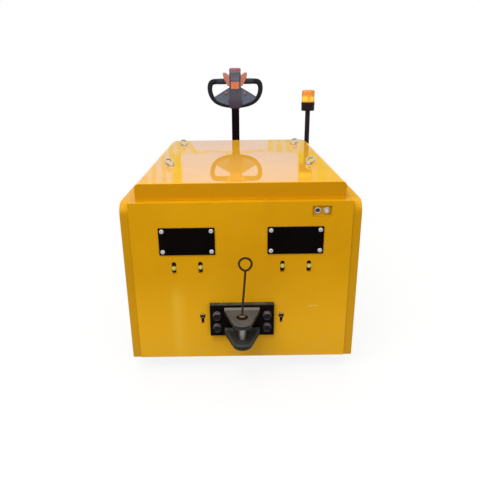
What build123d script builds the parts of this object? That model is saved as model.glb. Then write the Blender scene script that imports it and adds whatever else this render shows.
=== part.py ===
"""Pedestrian tow tractor: a heavy plate body on three wheels with a pin hitch and a steering tiller.

Millimetres. X to the right as seen from the hitch end, Y from the hitch end towards the tiller,
Z up from the floor. The origin is on the floor under the middle of the whole machine.
"""
from build123d import *
import os

os.makedirs("parts", exist_ok=True)

# Body
BODY_WIDTH = 1080.0
BODY_LENGTH = 1600.0
BODY_BOTTOM = 80.0
DECK_TOP = 866.0
SIDE_THICKNESS = 40.0
SIDE_CORNER_R = 60.0
SIDE_EDGE = 3.0
PLATE_THICKNESS = 20.0
PLATE_PROUD = 4.0
DECK_THICKNESS = 8.0
DECK_RIM = 62.0
COAMING_T = 5.0
COAMING_H = 20.0
OPENING_CORNER_R = 40.0
PANEL_THICKNESS = 10.0
BULKHEAD_FROM_END = 300.0
FLOOR_Z = 250.0
FLOOR_THICKNESS = 10.0
SEAT_GAP = 0.3
RUNNING_GAP = 0.08

# Hood
HOOD_MARGIN = 67.0
HOOD_SETBACK = 40.0
HOOD_FAR_DECK = 203.0
HOOD_HEIGHT = 80.0
HOOD_WALL = 4.0
HOOD_EDGE_R = 22.0
HOOD_CORNER_R = 70.0
HOOD_NEAR_EDGE_R = 6.0
HOOD_RIB_T = 4.0
HOOD_RIB_H = 30.0
EYE_FROM_SIDE = 113.0
EYE_FROM_NEAR = 410.0
EYE_FROM_FAR = 247.0
EYE_RING_R = 20.0
EYE_WIRE_R = 5.5
EYE_LEAN = 50.0
EYE_COLLAR_R = 15.0
EYE_COLLAR_H = 6.0
EYE_PAD = 60.0
EYE_PAD_T = 6.0
WIRE_EDGE = 2.9

# Tow hitch
JAW_REACH = 200.0
JAW_LOWER_SETBACK = 12.0
JAW_ROOT_HALF = 83.0
JAW_NOSE_R = 45.0
JAW_THICKNESS = 25.0
JAW_TOP = 362.0
JAW_GAP = 82.0
JAW_WEB = 26.0
JAW_WEB_HALF = 42.0
JAW_THROAT_R = 14.0
JAW_LIP = 6.0
JAW_EDGE = 3.0
HITCH_PLATE_W = 304.0
HITCH_PLATE_H = 165.0
HITCH_PLATE_T = 26.0
HITCH_PLATE_MID = 293.5
HITCH_BOLT_X = 118.0
HITCH_BOLT_RISE = -3.5
HITCH_BOLT_DZ = 62.0
HITCH_BOLT_AF = 36.0
HITCH_BOLT_HEAD = 15.0
HITCH_WASHER_R = 22.0
HITCH_WASHER_T = 4.0
PIN_R = 18.0
PIN_BACK = -120.0
PIN_HOLE_R = 26.0
PIN_SEAT_HOLE_R = 20.0
PIN_SEAT_FLOOR = 7.0
DRAIN_R = 6.0
PIN_DOME = 12.0
PIN_ROD_R = 5.0
PIN_RING_R = 28.0
PIN_RING_TIP_R = 19.0
PIN_RING_Z = 622.0
PIN_ROD_LEAN = 16.0

# Openings in the hitch end
KEYHOLE_X = 188.0
KEYHOLE_Z = 305.0
KEYHOLE_R = 13.5
KEYHOLE_SLOT_W = 13.0
KEYHOLE_DROP = 40.0
SLOT_XS = (-311.0, -189.0, 189.0, 311.0)
SLOT_Z = 557.0
SLOT_W = 20.0
SLOT_H = 58.0
CLAMP_T = 8.0
CLAMP_MARGIN = 30.0
COVER_W = 254.0
COVER_H = 130.0
COVER_T = 4.0
COVER_X = 246.0
COVER_Z = 686.0
POCKET_W = 90.0
POCKET_H = 51.0
POCKET_DEPTH = 12.0
POCKET_X = 361.0
POCKET_Z = 822.0
POCKET_WALL = 3.0
BUTTON_SPACING = 39.0
BUTTON_R = 14.8
BEZEL_H = 4.0

# Load wheels
LOAD_WHEEL_BACK = 420.0
LOAD_TYRE_R = 190.0
LOAD_TYRE_W = 130.0
LOAD_SHOULDER = 20.0
LOAD_RIM_R = 130.0
LOAD_RIM_W = 120.0
LOAD_RIM_T = 18.0
WHEEL_SIDE_GAP = 20.0
WHEEL_BAY_GAP = 30.0
WEB_NEAR = 5.0
WEB_FAR = 27.0
BOSS_R = 52.0
HAND_HOLE_R = 14.0
HAND_HOLES = 6
ARCH_TOP = 235.0
ARCH_HALF = 215.0
ARCH_CORNER_R = 70.0
AXLE_R = 30.0
SPINDLE_R = 22.5
AXLE_NUT_AF = 55.0
AXLE_NUT_H = 12.0
RAIL_W = 60.0
RAIL_BOTTOM = 130.0

# Battery
BATTERY_HEIGHT = 545.0
BATTERY_MARGIN = 35.0
BATTERY_SIDE_GAP = 10.0
CELL_HEIGHT = 15.0
CELL_ROWS = 6
CELL_COLUMNS = 4
CELL_GAP = 12.0

# Steered drive unit
STEER_X = -22.0
STEER_FROM_END = 120.0
DRIVE_TYRE_R = 145.0
DRIVE_TYRE_W = 100.0
DRIVE_SHOULDER = 10.0
DRIVE_RIM_R = 105.0
DRIVE_DISH = 28.0
DRIVE_DISH_R = 85.0
DRIVE_BOSS_R = 36.0
NOSE_R = 240.0
NOSE_TOP = 400.0
NOSE_WALL = 8.0
RING_R = 172.0
RING_BORE_R = 150.0
RING_H = 24.0
TABLE_T = 20.0
MOTOR_R = 88.0
MOTOR_CORE_R = 80.0
MOTOR_FLANGE = 12.0
MOTOR_BODY_H = 198.0
BRAKE_R = 68.0
BRAKE_H = 60.0
FIN_T = 8.0
FIN_COUNT = 6
TERMINAL_W = 70.0
TERMINAL_H = 80.0
TERMINAL_DEPTH = 24.0
LEG_T = 52.0
LEG_GAP = 12.0
LEG_R = 78.0
LEG_COVER_T = 6.0
STUB_R = 26.0
SLOT_HALF = 335.0
SLOT_TOP = 530.0
SLOT_CORNER_R = 40.0
LEG_ROOF_T = 40.0

# Tiller
PIVOT_REACH = 380.0
PIVOT_Z = 505.0
CHEEK_R = 42.0
CHEEK_T = 12.0
CHEEK_GAP = 70.0
CHEEK_FOOT_NEAR = 180.0
CHEEK_FOOT_FAR = 40.0
ARM_T = 14.0
ARM_RING = 50.0
TUBE_W = 60.0
TUBE_D = 40.0
TUBE_CORNER_R = 7.0
PIVOT_BOSS_R = 30.0
PIVOT_PIN_R = 11.0
HEAD_TOP = 1427.0
HEAD_DEPTH = 46.0
HEAD_EDGE = 3.0
CAP_H = 30.0
CAP_EDGE = 7.0
COLUMN_W = 90.0
SHOULDER_DROP = 143.0
WING_HALF = 158.0
WING_CORNER_DROP = 209.0
WING_LOW_DROP = 247.0
HIP_HALF = 96.0
HIP_DROP = 277.0
NECK_DROP = 303.0
NECK_HALF = 34.0
HEAD_CORNER_R = 12.0
LOOP_HALF = 214.0
LOOP_TUBE_R = 15.0
LOOP_BEND_R = 40.0
LOOP_SIDE_DROP = 165.0
LOOP_FOOT_DROP = 292.0
GRIP_R = 21.0
GRIP_FLANGE_R = 22.5
GRIP_FLANGE_T = 5.0
GRIP_DROP = 98.0
GRIP_END = 150.0
LEVER_T = 10.0
WING_BUTTON_X = 74.0
WING_BUTTON_DROP = 183.0
WING_BUTTON_R = 10.0

# Warning beacon
BEACON_FROM_SIDE = 48.0
BEACON_FROM_END = 140.0
LENS_R = 47.0
LENS_Z = 1193.0
LENS_H = 82.0
BEACON_BASE_H = 58.0
POST_R = 16.9
POST_FOOT_R = 32.0
POST_FLANGE_H = 8.0

# Places that follow from the sizes above
HALF = BODY_WIDTH / 2
INNER = HALF - SIDE_THICKNESS
HOOD_WIDTH = BODY_WIDTH - 2 * HOOD_MARGIN
HOOD_LENGTH = BODY_LENGTH - HOOD_SETBACK - HOOD_FAR_DECK
HOOD_TOP = DECK_TOP + HOOD_HEIGHT
BULKHEAD_BACK = BODY_LENGTH - BULKHEAD_FROM_END
LOAD_TRACK_X = INNER - WHEEL_SIDE_GAP - LOAD_TYRE_W / 2
BAY_HALF = LOAD_TRACK_X - LOAD_TYRE_W / 2 - WHEEL_BAY_GAP
RAIL_X = BAY_HALF - 50
STEER_BACK = BODY_LENGTH - STEER_FROM_END
PIVOT_BACK = STEER_BACK + PIVOT_REACH
FACE_Y = -(PIVOT_BACK + CHEEK_R - JAW_REACH) / 2
STEER_Y = FACE_Y + STEER_BACK
PIVOT_Y = FACE_Y + PIVOT_BACK
TABLE_Z = NOSE_TOP + RING_H + SEAT_GAP
TABLE_TOP = TABLE_Z + TABLE_T
NECK_Z = HEAD_TOP - NECK_DROP
GRIP_Z = HEAD_TOP - GRIP_DROP
BUTTON_SEAT = HEAD_TOP - CAP_H
BEACON_X = HALF - BEACON_FROM_SIDE
BEACON_Y = FACE_Y + BODY_LENGTH - BEACON_FROM_END


def back(distance):
    """Y of a point that lies this far behind the hitch face."""
    return FACE_Y + distance


def facing_hitch(distance):
    """Upright plane this far behind the hitch face, seen from the hitch end."""
    return Plane(origin=(0, back(distance), 0), x_dir=(1, 0, 0), z_dir=(0, -1, 0))


def write_piece(piece, name):
    """Label a finished piece and write it as its own file."""
    piece.part.label = name
    export_step(piece.part, "parts/" + name + ".step")


# Side panels: thick plates with a rounded shoulder and a low wheel arch
for side, name in ((-1, "side_panel_left"), (1, "side_panel_right")):
    inner_x = side * INNER
    with BuildPart() as panel:
        with BuildSketch(Plane.YZ.offset(min(inner_x, side * HALF))) as side_outline:
            with Locations((back((PLATE_PROUD + BODY_LENGTH) / 2), (BODY_BOTTOM + DECK_TOP) / 2)):
                Rectangle(BODY_LENGTH - PLATE_PROUD, DECK_TOP - BODY_BOTTOM)
            with Locations((back(LOAD_WHEEL_BACK), BODY_BOTTOM)):
                Rectangle(2 * ARCH_HALF, 2 * (ARCH_TOP - BODY_BOTTOM), mode=Mode.SUBTRACT)
            arch_corners = side_outline.vertices().filter_by_position(Axis.Y, ARCH_TOP - 1, ARCH_TOP + 1)
            fillet(arch_corners, ARCH_CORNER_R)
        extrude(amount=SIDE_THICKNESS)
        top_corners = panel.edges().filter_by(Axis.X).group_by(Axis.Z)[-1]
        fillet(top_corners, SIDE_CORNER_R)
        outer_face = panel.faces().sort_by(Axis.X)[0 if side < 0 else -1]
        chamfer(outer_face.edges(), SIDE_EDGE)
    write_piece(panel, name)

# Hitch end plate with its keyholes, slots and switch pocket
with BuildPart() as hitch_face_plate:
    with BuildSketch(facing_hitch(PLATE_THICKNESS)):
        with Locations((0, (BODY_BOTTOM + DECK_TOP) / 2)):
            Rectangle(2 * INNER, DECK_TOP - BODY_BOTTOM)
        for side in (-1, 1):
            with Locations((side * KEYHOLE_X, KEYHOLE_Z)):
                Circle(KEYHOLE_R, mode=Mode.SUBTRACT)
            with Locations((side * KEYHOLE_X, KEYHOLE_Z - KEYHOLE_DROP / 2)):
                Rectangle(KEYHOLE_SLOT_W, KEYHOLE_DROP, mode=Mode.SUBTRACT)
        for x in SLOT_XS:
            with Locations((x, SLOT_Z)):
                SlotOverall(SLOT_H, SLOT_W, rotation=90, mode=Mode.SUBTRACT)
        with Locations((POCKET_X, POCKET_Z)):
            RectangleRounded(POCKET_W, POCKET_H, 5, mode=Mode.SUBTRACT)
    extrude(amount=PLATE_THICKNESS)
write_piece(hitch_face_plate, "hitch_face_plate")

# Deck around the battery opening, with an upright rim that keeps rain out under the hood
DECK_NEAR = PLATE_THICKNESS
DECK_FAR = BODY_LENGTH - PANEL_THICKNESS
OPENING_NEAR = HOOD_SETBACK + DECK_RIM / 2
OPENING_FAR = HOOD_SETBACK + HOOD_LENGTH - DECK_RIM
OPENING_MID = back((OPENING_NEAR + OPENING_FAR) / 2)
OPENING_W = HOOD_WIDTH - 2 * DECK_RIM
OPENING_L = OPENING_FAR - OPENING_NEAR
with BuildPart() as deck_plate:
    with BuildSketch(Plane.XY.offset(DECK_TOP - DECK_THICKNESS)):
        with Locations((0, back((DECK_NEAR + DECK_FAR) / 2))):
            Rectangle(2 * INNER, DECK_FAR - DECK_NEAR)
        with Locations((0, OPENING_MID)):
            RectangleRounded(OPENING_W, OPENING_L, OPENING_CORNER_R, mode=Mode.SUBTRACT)
    extrude(amount=DECK_THICKNESS)
    with BuildSketch(Plane.XY.offset(DECK_TOP)):
        with Locations((0, OPENING_MID)):
            RectangleRounded(OPENING_W + 2 * COAMING_T, OPENING_L + 2 * COAMING_T,
                             OPENING_CORNER_R + COAMING_T)
            RectangleRounded(OPENING_W, OPENING_L, OPENING_CORNER_R, mode=Mode.SUBTRACT)
    extrude(amount=COAMING_H)
write_piece(deck_plate, "deck_plate")

# Front panel with the low slot that the steering arm swings in
with BuildPart() as front_panel:
    with BuildSketch(facing_hitch(BODY_LENGTH)):
        with Locations((0, (BODY_BOTTOM + DECK_TOP) / 2)):
            Rectangle(2 * INNER, DECK_TOP - BODY_BOTTOM)
        with Locations((STEER_X, BODY_BOTTOM)):
            Rectangle(2 * (NOSE_R + SEAT_GAP), 2 * (NOSE_TOP - BODY_BOTTOM + 1), mode=Mode.SUBTRACT)
        with Locations((STEER_X, (NOSE_TOP + SLOT_TOP) / 2)):
            RectangleRounded(2 * SLOT_HALF, SLOT_TOP - NOSE_TOP, SLOT_CORNER_R, mode=Mode.SUBTRACT)
    extrude(amount=PANEL_THICKNESS)
write_piece(front_panel, "front_panel")

# Bulkhead between the battery and the drive bay
with BuildPart() as bulkhead:
    with BuildSketch(facing_hitch(BULKHEAD_BACK)):
        with Locations((0, (BODY_BOTTOM + DECK_TOP - DECK_THICKNESS) / 2)):
            Rectangle(2 * INNER, DECK_TOP - DECK_THICKNESS - BODY_BOTTOM)
    extrude(amount=PANEL_THICKNESS)
write_piece(bulkhead, "bulkhead")

# Battery floor and the ladder frame under it
BAY_NEAR = PLATE_THICKNESS
BAY_FAR = BULKHEAD_BACK - PANEL_THICKNESS
with BuildPart() as battery_floor:
    with BuildSketch(Plane.XY.offset(FLOOR_Z)):
        with Locations((0, back((BAY_NEAR + BAY_FAR) / 2))):
            Rectangle(2 * INNER, BAY_FAR - BAY_NEAR)
        for side in (-1, 1):
            with Locations((side * INNER, back(LOAD_WHEEL_BACK))):
                Rectangle(2 * (INNER - BAY_HALF), 2 * (LOAD_TYRE_R + WHEEL_SIDE_GAP), mode=Mode.SUBTRACT)
    extrude(amount=FLOOR_THICKNESS)
write_piece(battery_floor, "battery_floor")

CROSS_MEMBERS = (BAY_NEAR + RAIL_W / 2, (BAY_NEAR + BAY_FAR) / 2, BAY_FAR - RAIL_W / 2)
with BuildPart() as ladder_frame:
    with BuildSketch(Plane.XY.offset(RAIL_BOTTOM)):
        for side in (-1, 1):
            with Locations((side * RAIL_X, back((BAY_NEAR + BAY_FAR) / 2))):
                Rectangle(RAIL_W, BAY_FAR - BAY_NEAR)
        for distance in CROSS_MEMBERS:
            with Locations((0, back(distance))):
                Rectangle(2 * RAIL_X, RAIL_W)
    extrude(amount=FLOOR_Z - RAIL_BOTTOM)
    with BuildSketch(Plane.YZ.offset(-RAIL_X - RAIL_W)):
        with Locations((back(LOAD_WHEEL_BACK), LOAD_TYRE_R)):
            Circle(AXLE_R + SEAT_GAP)
    extrude(amount=2 * (RAIL_X + RAIL_W), mode=Mode.SUBTRACT)
write_piece(ladder_frame, "ladder_frame")

# Battery: one closed heavy case with the lids of its cells on top
BATTERY_W = 2 * (BAY_HALF - BATTERY_SIDE_GAP)
BATTERY_L = BAY_FAR - BAY_NEAR - 2 * BATTERY_MARGIN
BATTERY_TOP = FLOOR_Z + FLOOR_THICKNESS + BATTERY_HEIGHT
CELL_PITCH_X = (BATTERY_W - 2 * CELL_GAP) / CELL_COLUMNS
CELL_PITCH_Y = (BATTERY_L - 2 * CELL_GAP) / CELL_ROWS
with BuildPart() as battery:
    with BuildSketch(Plane.XY.offset(FLOOR_Z + FLOOR_THICKNESS)):
        with Locations((0, back((BAY_NEAR + BAY_FAR) / 2))):
            RectangleRounded(BATTERY_W, BATTERY_L, CELL_GAP)
    extrude(amount=BATTERY_HEIGHT)
    chamfer(battery.edges().group_by(Axis.Z)[-1], CELL_GAP / 2)
    with BuildSketch(Plane.XY.offset(BATTERY_TOP)):
        with Locations((0, back((BAY_NEAR + BAY_FAR) / 2))):
            with GridLocations(CELL_PITCH_X, CELL_PITCH_Y, CELL_COLUMNS, CELL_ROWS):
                Rectangle(CELL_PITCH_X - CELL_GAP, CELL_PITCH_Y - CELL_GAP)
    extrude(amount=CELL_HEIGHT)
write_piece(battery, "battery")

# Hood: a lift-off lid, hollow underneath, with cross ribs and a pad behind each lifting eye
EYE_X = HOOD_WIDTH / 2 - EYE_FROM_SIDE
EYE_NEAR = HOOD_SETBACK + EYE_FROM_NEAR
EYE_FAR = HOOD_SETBACK + HOOD_LENGTH - EYE_FROM_FAR
EYES = (  # x, distance behind the hitch face, turn of the ring in degrees
    (-EYE_X, EYE_NEAR, 40.0),
    (EYE_X, EYE_NEAR, -40.0),
    (-EYE_X, EYE_FAR, 20.0),
    (EYE_X, EYE_FAR, -25.0),
)
HOOD_UNDER = HOOD_TOP - HOOD_WALL
with BuildPart() as hood:
    with BuildSketch(Plane.XY.offset(DECK_TOP + SEAT_GAP)) as hood_outline:
        with Locations((0, back(HOOD_SETBACK + HOOD_LENGTH / 2))):
            Rectangle(HOOD_WIDTH, HOOD_LENGTH)
        fillet(hood_outline.vertices().group_by(Axis.Y)[-1], HOOD_CORNER_R)
    extrude(amount=HOOD_HEIGHT - SEAT_GAP)
    top_edges = hood.faces().sort_by(Axis.Z)[-1].edges().sort_by(Axis.Y)
    fillet(top_edges[1:], HOOD_EDGE_R)
    near_edges = hood.faces().sort_by(Axis.Y)[0].edges().sort_by(Axis.Z)
    fillet(near_edges[1:], HOOD_NEAR_EDGE_R)
    offset(amount=-HOOD_WALL, openings=hood.faces().sort_by(Axis.Z)[0])
    with BuildSketch(Plane.XY.offset(HOOD_UNDER)):
        for share in (0.2, 0.5, 0.8):
            with Locations((0, back(HOOD_SETBACK + share * HOOD_LENGTH))):
                Rectangle(HOOD_WIDTH - 2 * HOOD_EDGE_R, HOOD_RIB_T)
    extrude(amount=-HOOD_RIB_H)
    with BuildSketch(Plane.XY.offset(HOOD_UNDER)):
        for x, distance, _turn in EYES:
            with Locations((x, back(distance))):
                Rectangle(EYE_PAD, EYE_PAD)
    extrude(amount=-EYE_PAD_T)
write_piece(hood, "hood")

# Lifting eyes on the hood: rings that lean over, each turned its own way
with BuildPart() as lifting_eyes:
    for x, distance, turn in EYES:
        foot = Location((x, back(distance), HOOD_TOP + EYE_COLLAR_H), (0, 0, turn))
        ring_plane = Plane(foot * Location((0, 0, 0), (90 - EYE_LEAN, 0, 0)) * Location((0, EYE_RING_R, 0)))
        with BuildSketch(ring_plane.offset(-EYE_WIRE_R)):
            Circle(EYE_RING_R + EYE_WIRE_R)
            Circle(EYE_RING_R - EYE_WIRE_R, mode=Mode.SUBTRACT)
        extrude(amount=2 * EYE_WIRE_R)
    chamfer(lifting_eyes.edges().filter_by(GeomType.CIRCLE), WIRE_EDGE)
    with BuildSketch(Plane.XY.offset(HOOD_TOP)):
        for x, distance, _turn in EYES:
            with Locations((x, back(distance))):
                Circle(EYE_COLLAR_R)
    extrude(amount=EYE_COLLAR_H)
write_piece(lifting_eyes, "lifting_eyes")

# Blank cover plates on the hitch end
for side, name in ((-1, "cover_plate_left"), (1, "cover_plate_right")):
    with BuildPart() as cover:
        with BuildSketch(facing_hitch(0)):
            with Locations((side * COVER_X, COVER_Z)):
                RectangleRounded(COVER_W, COVER_H, 4)
        extrude(amount=COVER_T)
    write_piece(cover, name)

# Clamp bars behind the slots
with BuildPart() as clamp_bars:
    with BuildSketch(facing_hitch(PLATE_THICKNESS + CLAMP_T)):
        for side in (-1, 1):
            with Locations((side * (SLOT_XS[-1] + SLOT_XS[-2]) / 2, SLOT_Z)):
                Rectangle(SLOT_XS[-1] - SLOT_XS[-2] + 2 * CLAMP_MARGIN, SLOT_H + CLAMP_MARGIN)
    extrude(amount=CLAMP_T)
write_piece(clamp_bars, "clamp_bars")

# Switch tray and its two switches
with BuildPart() as switch_tray:
    with BuildSketch(facing_hitch(POCKET_DEPTH + POCKET_WALL)):
        with Locations((POCKET_X, POCKET_Z)):
            RectangleRounded(POCKET_W - 2 * SEAT_GAP, POCKET_H - 2 * SEAT_GAP, 5)
    extrude(amount=POCKET_DEPTH + POCKET_WALL)
    with BuildSketch(facing_hitch(POCKET_DEPTH)):
        with Locations((POCKET_X, POCKET_Z)):
            RectangleRounded(POCKET_W - 2 * POCKET_WALL, POCKET_H - 2 * POCKET_WALL, 3)
    extrude(amount=POCKET_DEPTH, mode=Mode.SUBTRACT)
write_piece(switch_tray, "switch_tray")

SWITCHES = (  # name, sideways place, cap radius, height of the cap over the bezel
    ("key_switch", -1, 10.5, 3.0),
    ("push_button", 1, 11.0, 5.0),
)
for name, side, cap_r, cap_h in SWITCHES:
    with BuildPart() as switch:
        with BuildSketch(facing_hitch(POCKET_DEPTH)):
            with Locations((POCKET_X + side * BUTTON_SPACING / 2, POCKET_Z)):
                Circle(BUTTON_R)
        extrude(amount=BEZEL_H)
        chamfer(switch.edges().filter_by(GeomType.CIRCLE).sort_by(Axis.Y)[0], 1.2)
        with BuildSketch(facing_hitch(POCKET_DEPTH - BEZEL_H)):
            with Locations((POCKET_X + side * BUTTON_SPACING / 2, POCKET_Z)):
                Circle(cap_r)
        extrude(amount=cap_h)
        chamfer(switch.edges().filter_by(GeomType.CIRCLE).sort_by(Axis.Y)[0], 1.0)
    write_piece(switch, name)

# Hitch mounting plate and its four bolts
with BuildPart() as hitch_plate:
    with BuildSketch(facing_hitch(0)):
        with Locations((0, HITCH_PLATE_MID)):
            Rectangle(HITCH_PLATE_W, HITCH_PLATE_H)
    extrude(amount=HITCH_PLATE_T)
    chamfer(hitch_plate.faces().sort_by(Axis.Y)[0].edges(), 3)
write_piece(hitch_plate, "hitch_plate")

with BuildPart() as hitch_bolts:
    for x in (-HITCH_BOLT_X, HITCH_BOLT_X):
        for dz in (-HITCH_BOLT_DZ / 2, HITCH_BOLT_DZ / 2):
            with BuildSketch(facing_hitch(-HITCH_PLATE_T)):
                with Locations((x, HITCH_PLATE_MID + HITCH_BOLT_RISE + dz)):
                    Circle(HITCH_WASHER_R)
            extrude(amount=HITCH_WASHER_T)
            with BuildSketch(facing_hitch(-HITCH_PLATE_T - HITCH_WASHER_T)):
                with Locations((x, HITCH_PLATE_MID + HITCH_BOLT_RISE + dz)):
                    RegularPolygon(HITCH_BOLT_AF / 2, 6, major_radius=False, rotation=30)
            extrude(amount=HITCH_BOLT_HEAD)
write_piece(hitch_bolts, "hitch_bolts")

# Cast jaw: two tongues joined by a web at the plate, with a rounded throat and flared lips
JAW_BOTTOM = JAW_TOP - 2 * JAW_THICKNESS - JAW_GAP
JAW_ROOF = JAW_TOP - JAW_THICKNESS
JAW_FLOOR = JAW_BOTTOM + JAW_THICKNESS
WEB_FACE = back(-HITCH_PLATE_T - JAW_WEB)
PIN_Y = back(PIN_BACK)
with BuildPart() as hitch_jaw:
    for z, reach in ((JAW_ROOF, JAW_REACH), (JAW_BOTTOM, JAW_REACH - JAW_LOWER_SETBACK)):
        with BuildSketch(Plane.XY.offset(z)):
            with Locations((0, back(-reach + JAW_NOSE_R))):
                Circle(JAW_NOSE_R)
            with Locations((0, back(-HITCH_PLATE_T - 10))):
                Rectangle(2 * JAW_ROOT_HALF, 20)
            make_hull()
        extrude(amount=JAW_THICKNESS)
    with Locations((0, back(-HITCH_PLATE_T - JAW_WEB / 2), (JAW_TOP + JAW_BOTTOM) / 2)):
        Box(2 * JAW_WEB_HALF, JAW_WEB, JAW_TOP - JAW_BOTTOM)
    throat = hitch_jaw.edges().filter_by(Axis.X).filter_by_position(Axis.Y, WEB_FACE - 1, WEB_FACE + 1)
    fillet(throat.filter_by_position(Axis.Z, JAW_FLOOR - 1, JAW_ROOF + 1), JAW_THROAT_R)
    noses = hitch_jaw.edges().filter_by(GeomType.CIRCLE).filter_by(lambda edge: edge.radius == JAW_NOSE_R)
    chamfer(noses.filter_by_position(Axis.Z, JAW_FLOOR - 1, JAW_ROOF + 1), JAW_LIP)
    top_rim = hitch_jaw.faces().sort_by(Axis.Z)[-1].edges()
    chamfer(top_rim.filter_by_position(Axis.Y, back(-JAW_REACH), WEB_FACE), JAW_EDGE)
    with BuildSketch(Plane.XY.offset(JAW_TOP)):
        with Locations((0, PIN_Y)):
            Circle(PIN_HOLE_R)
    extrude(amount=-JAW_THICKNESS, mode=Mode.SUBTRACT)
    with BuildSketch(Plane.XY.offset(JAW_FLOOR)):
        with Locations((0, PIN_Y)):
            Circle(PIN_SEAT_HOLE_R)
    extrude(amount=-(JAW_THICKNESS - PIN_SEAT_FLOOR), mode=Mode.SUBTRACT)
    with BuildSketch(Plane.XY.offset(JAW_BOTTOM)):
        with Locations((0, PIN_Y)):
            Circle(DRAIN_R)
    extrude(amount=PIN_SEAT_FLOOR, mode=Mode.SUBTRACT)
write_piece(hitch_jaw, "hitch_jaw")

# Drawbar pin with its long leaning rod and an egg-shaped pull ring of the same bar
PIN_FOOT = JAW_BOTTOM + PIN_SEAT_FLOOR + SEAT_GAP
PIN_HEAD_Z = JAW_TOP + PIN_DOME
PIN_SHOULDER_Z = PIN_HEAD_Z - 10
RING_PLANE = Plane(origin=(PIN_ROD_LEAN, PIN_Y, PIN_RING_Z), x_dir=(1, 0, 0), z_dir=(0, -1, 0))


def egg_outline(growth):
    """Outline of the pull ring's centre line, grown outwards by this much."""
    with BuildSketch(mode=Mode.PRIVATE) as egg:
        Circle(PIN_RING_R + growth)
        with Locations((0, -(PIN_RING_R - PIN_RING_TIP_R) - 4)):
            Circle(PIN_RING_TIP_R + growth)
        make_hull()
    return egg.sketch


with BuildPart() as tow_pin:
    with BuildSketch(RING_PLANE.offset(-PIN_ROD_R)):
        add(egg_outline(PIN_ROD_R))
        add(egg_outline(-PIN_ROD_R), mode=Mode.SUBTRACT)
    extrude(amount=2 * PIN_ROD_R)
    chamfer(tow_pin.faces().filter_by(Axis.Y).edges(), WIRE_EDGE)
    with BuildSketch(Plane(origin=(0, PIN_Y, 0), x_dir=(1, 0, 0), z_dir=(0, -1, 0))):
        with BuildLine():
            Polyline((0, PIN_FOOT), (PIN_R - 4, PIN_FOOT), (PIN_R, PIN_FOOT + 4), (PIN_R, PIN_SHOULDER_Z))
            ThreePointArc((PIN_R, PIN_SHOULDER_Z), (PIN_R * 0.72, PIN_HEAD_Z - 3), (0, PIN_HEAD_Z))
            Line((0, PIN_HEAD_Z), (0, PIN_FOOT))
        make_face()
    revolve(axis=Axis((0, PIN_Y, 0), (0, 0, 1)))
    rod_foot = Vector(0, PIN_Y, PIN_SHOULDER_Z)
    rod_head = Vector(PIN_ROD_LEAN, PIN_Y, PIN_RING_Z - PIN_RING_R - 4)
    rod_line = rod_head - rod_foot
    with BuildSketch(Plane(origin=rod_foot, z_dir=rod_line)):
        Circle(PIN_ROD_R)
    extrude(amount=rod_line.length)
write_piece(tow_pin, "tow_pin")

# Load axle through the ladder frame
AXLE_Y = back(LOAD_WHEEL_BACK)
HUB_HALF = LOAD_RIM_W / 2
SPINDLE_END = LOAD_TRACK_X + HUB_HALF + SEAT_GAP
with BuildPart() as load_axle:
    with BuildSketch(Plane.YZ):
        with Locations((AXLE_Y, LOAD_TYRE_R)):
            Circle(AXLE_R)
    extrude(amount=LOAD_TRACK_X - HUB_HALF - SEAT_GAP, both=True)
    with BuildSketch(Plane.YZ):
        with Locations((AXLE_Y, LOAD_TYRE_R)):
            Circle(SPINDLE_R)
    extrude(amount=SPINDLE_END, both=True)
    for side in (-1, 1):
        with BuildSketch(Plane.YZ.offset(side * SPINDLE_END)):
            with Locations((AXLE_Y, LOAD_TYRE_R)):
                RegularPolygon(AXLE_NUT_AF / 2, 6, major_radius=False)
        extrude(amount=side * AXLE_NUT_H)
write_piece(load_axle, "load_axle")


def wheel_plane(x, y, z, side):
    """Plane through a wheel's centre: local X runs outwards along the axle, local Y is the radius."""
    return Plane(origin=(x, y, z), x_dir=(side, 0, 0), z_dir=(0, -side, 0))


def tyre_profile(rim_r, tyre_r, base_w, tread_w, shoulder):
    """Half section of a solid tyre: wider at the tread than at the rim, with two-step shoulders."""
    with BuildSketch(mode=Mode.PRIVATE) as section:
        with BuildLine():
            Polyline((-base_w / 2, rim_r), (-tread_w / 2, tyre_r - shoulder),
                     (-tread_w / 2 + 0.3 * shoulder, tyre_r - 0.3 * shoulder),
                     (-tread_w / 2 + shoulder, tyre_r), (tread_w / 2 - shoulder, tyre_r),
                     (tread_w / 2 - 0.3 * shoulder, tyre_r - 0.3 * shoulder),
                     (tread_w / 2, tyre_r - shoulder), (base_w / 2, rim_r), close=True)
        make_face()
    return section.sketch


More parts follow.
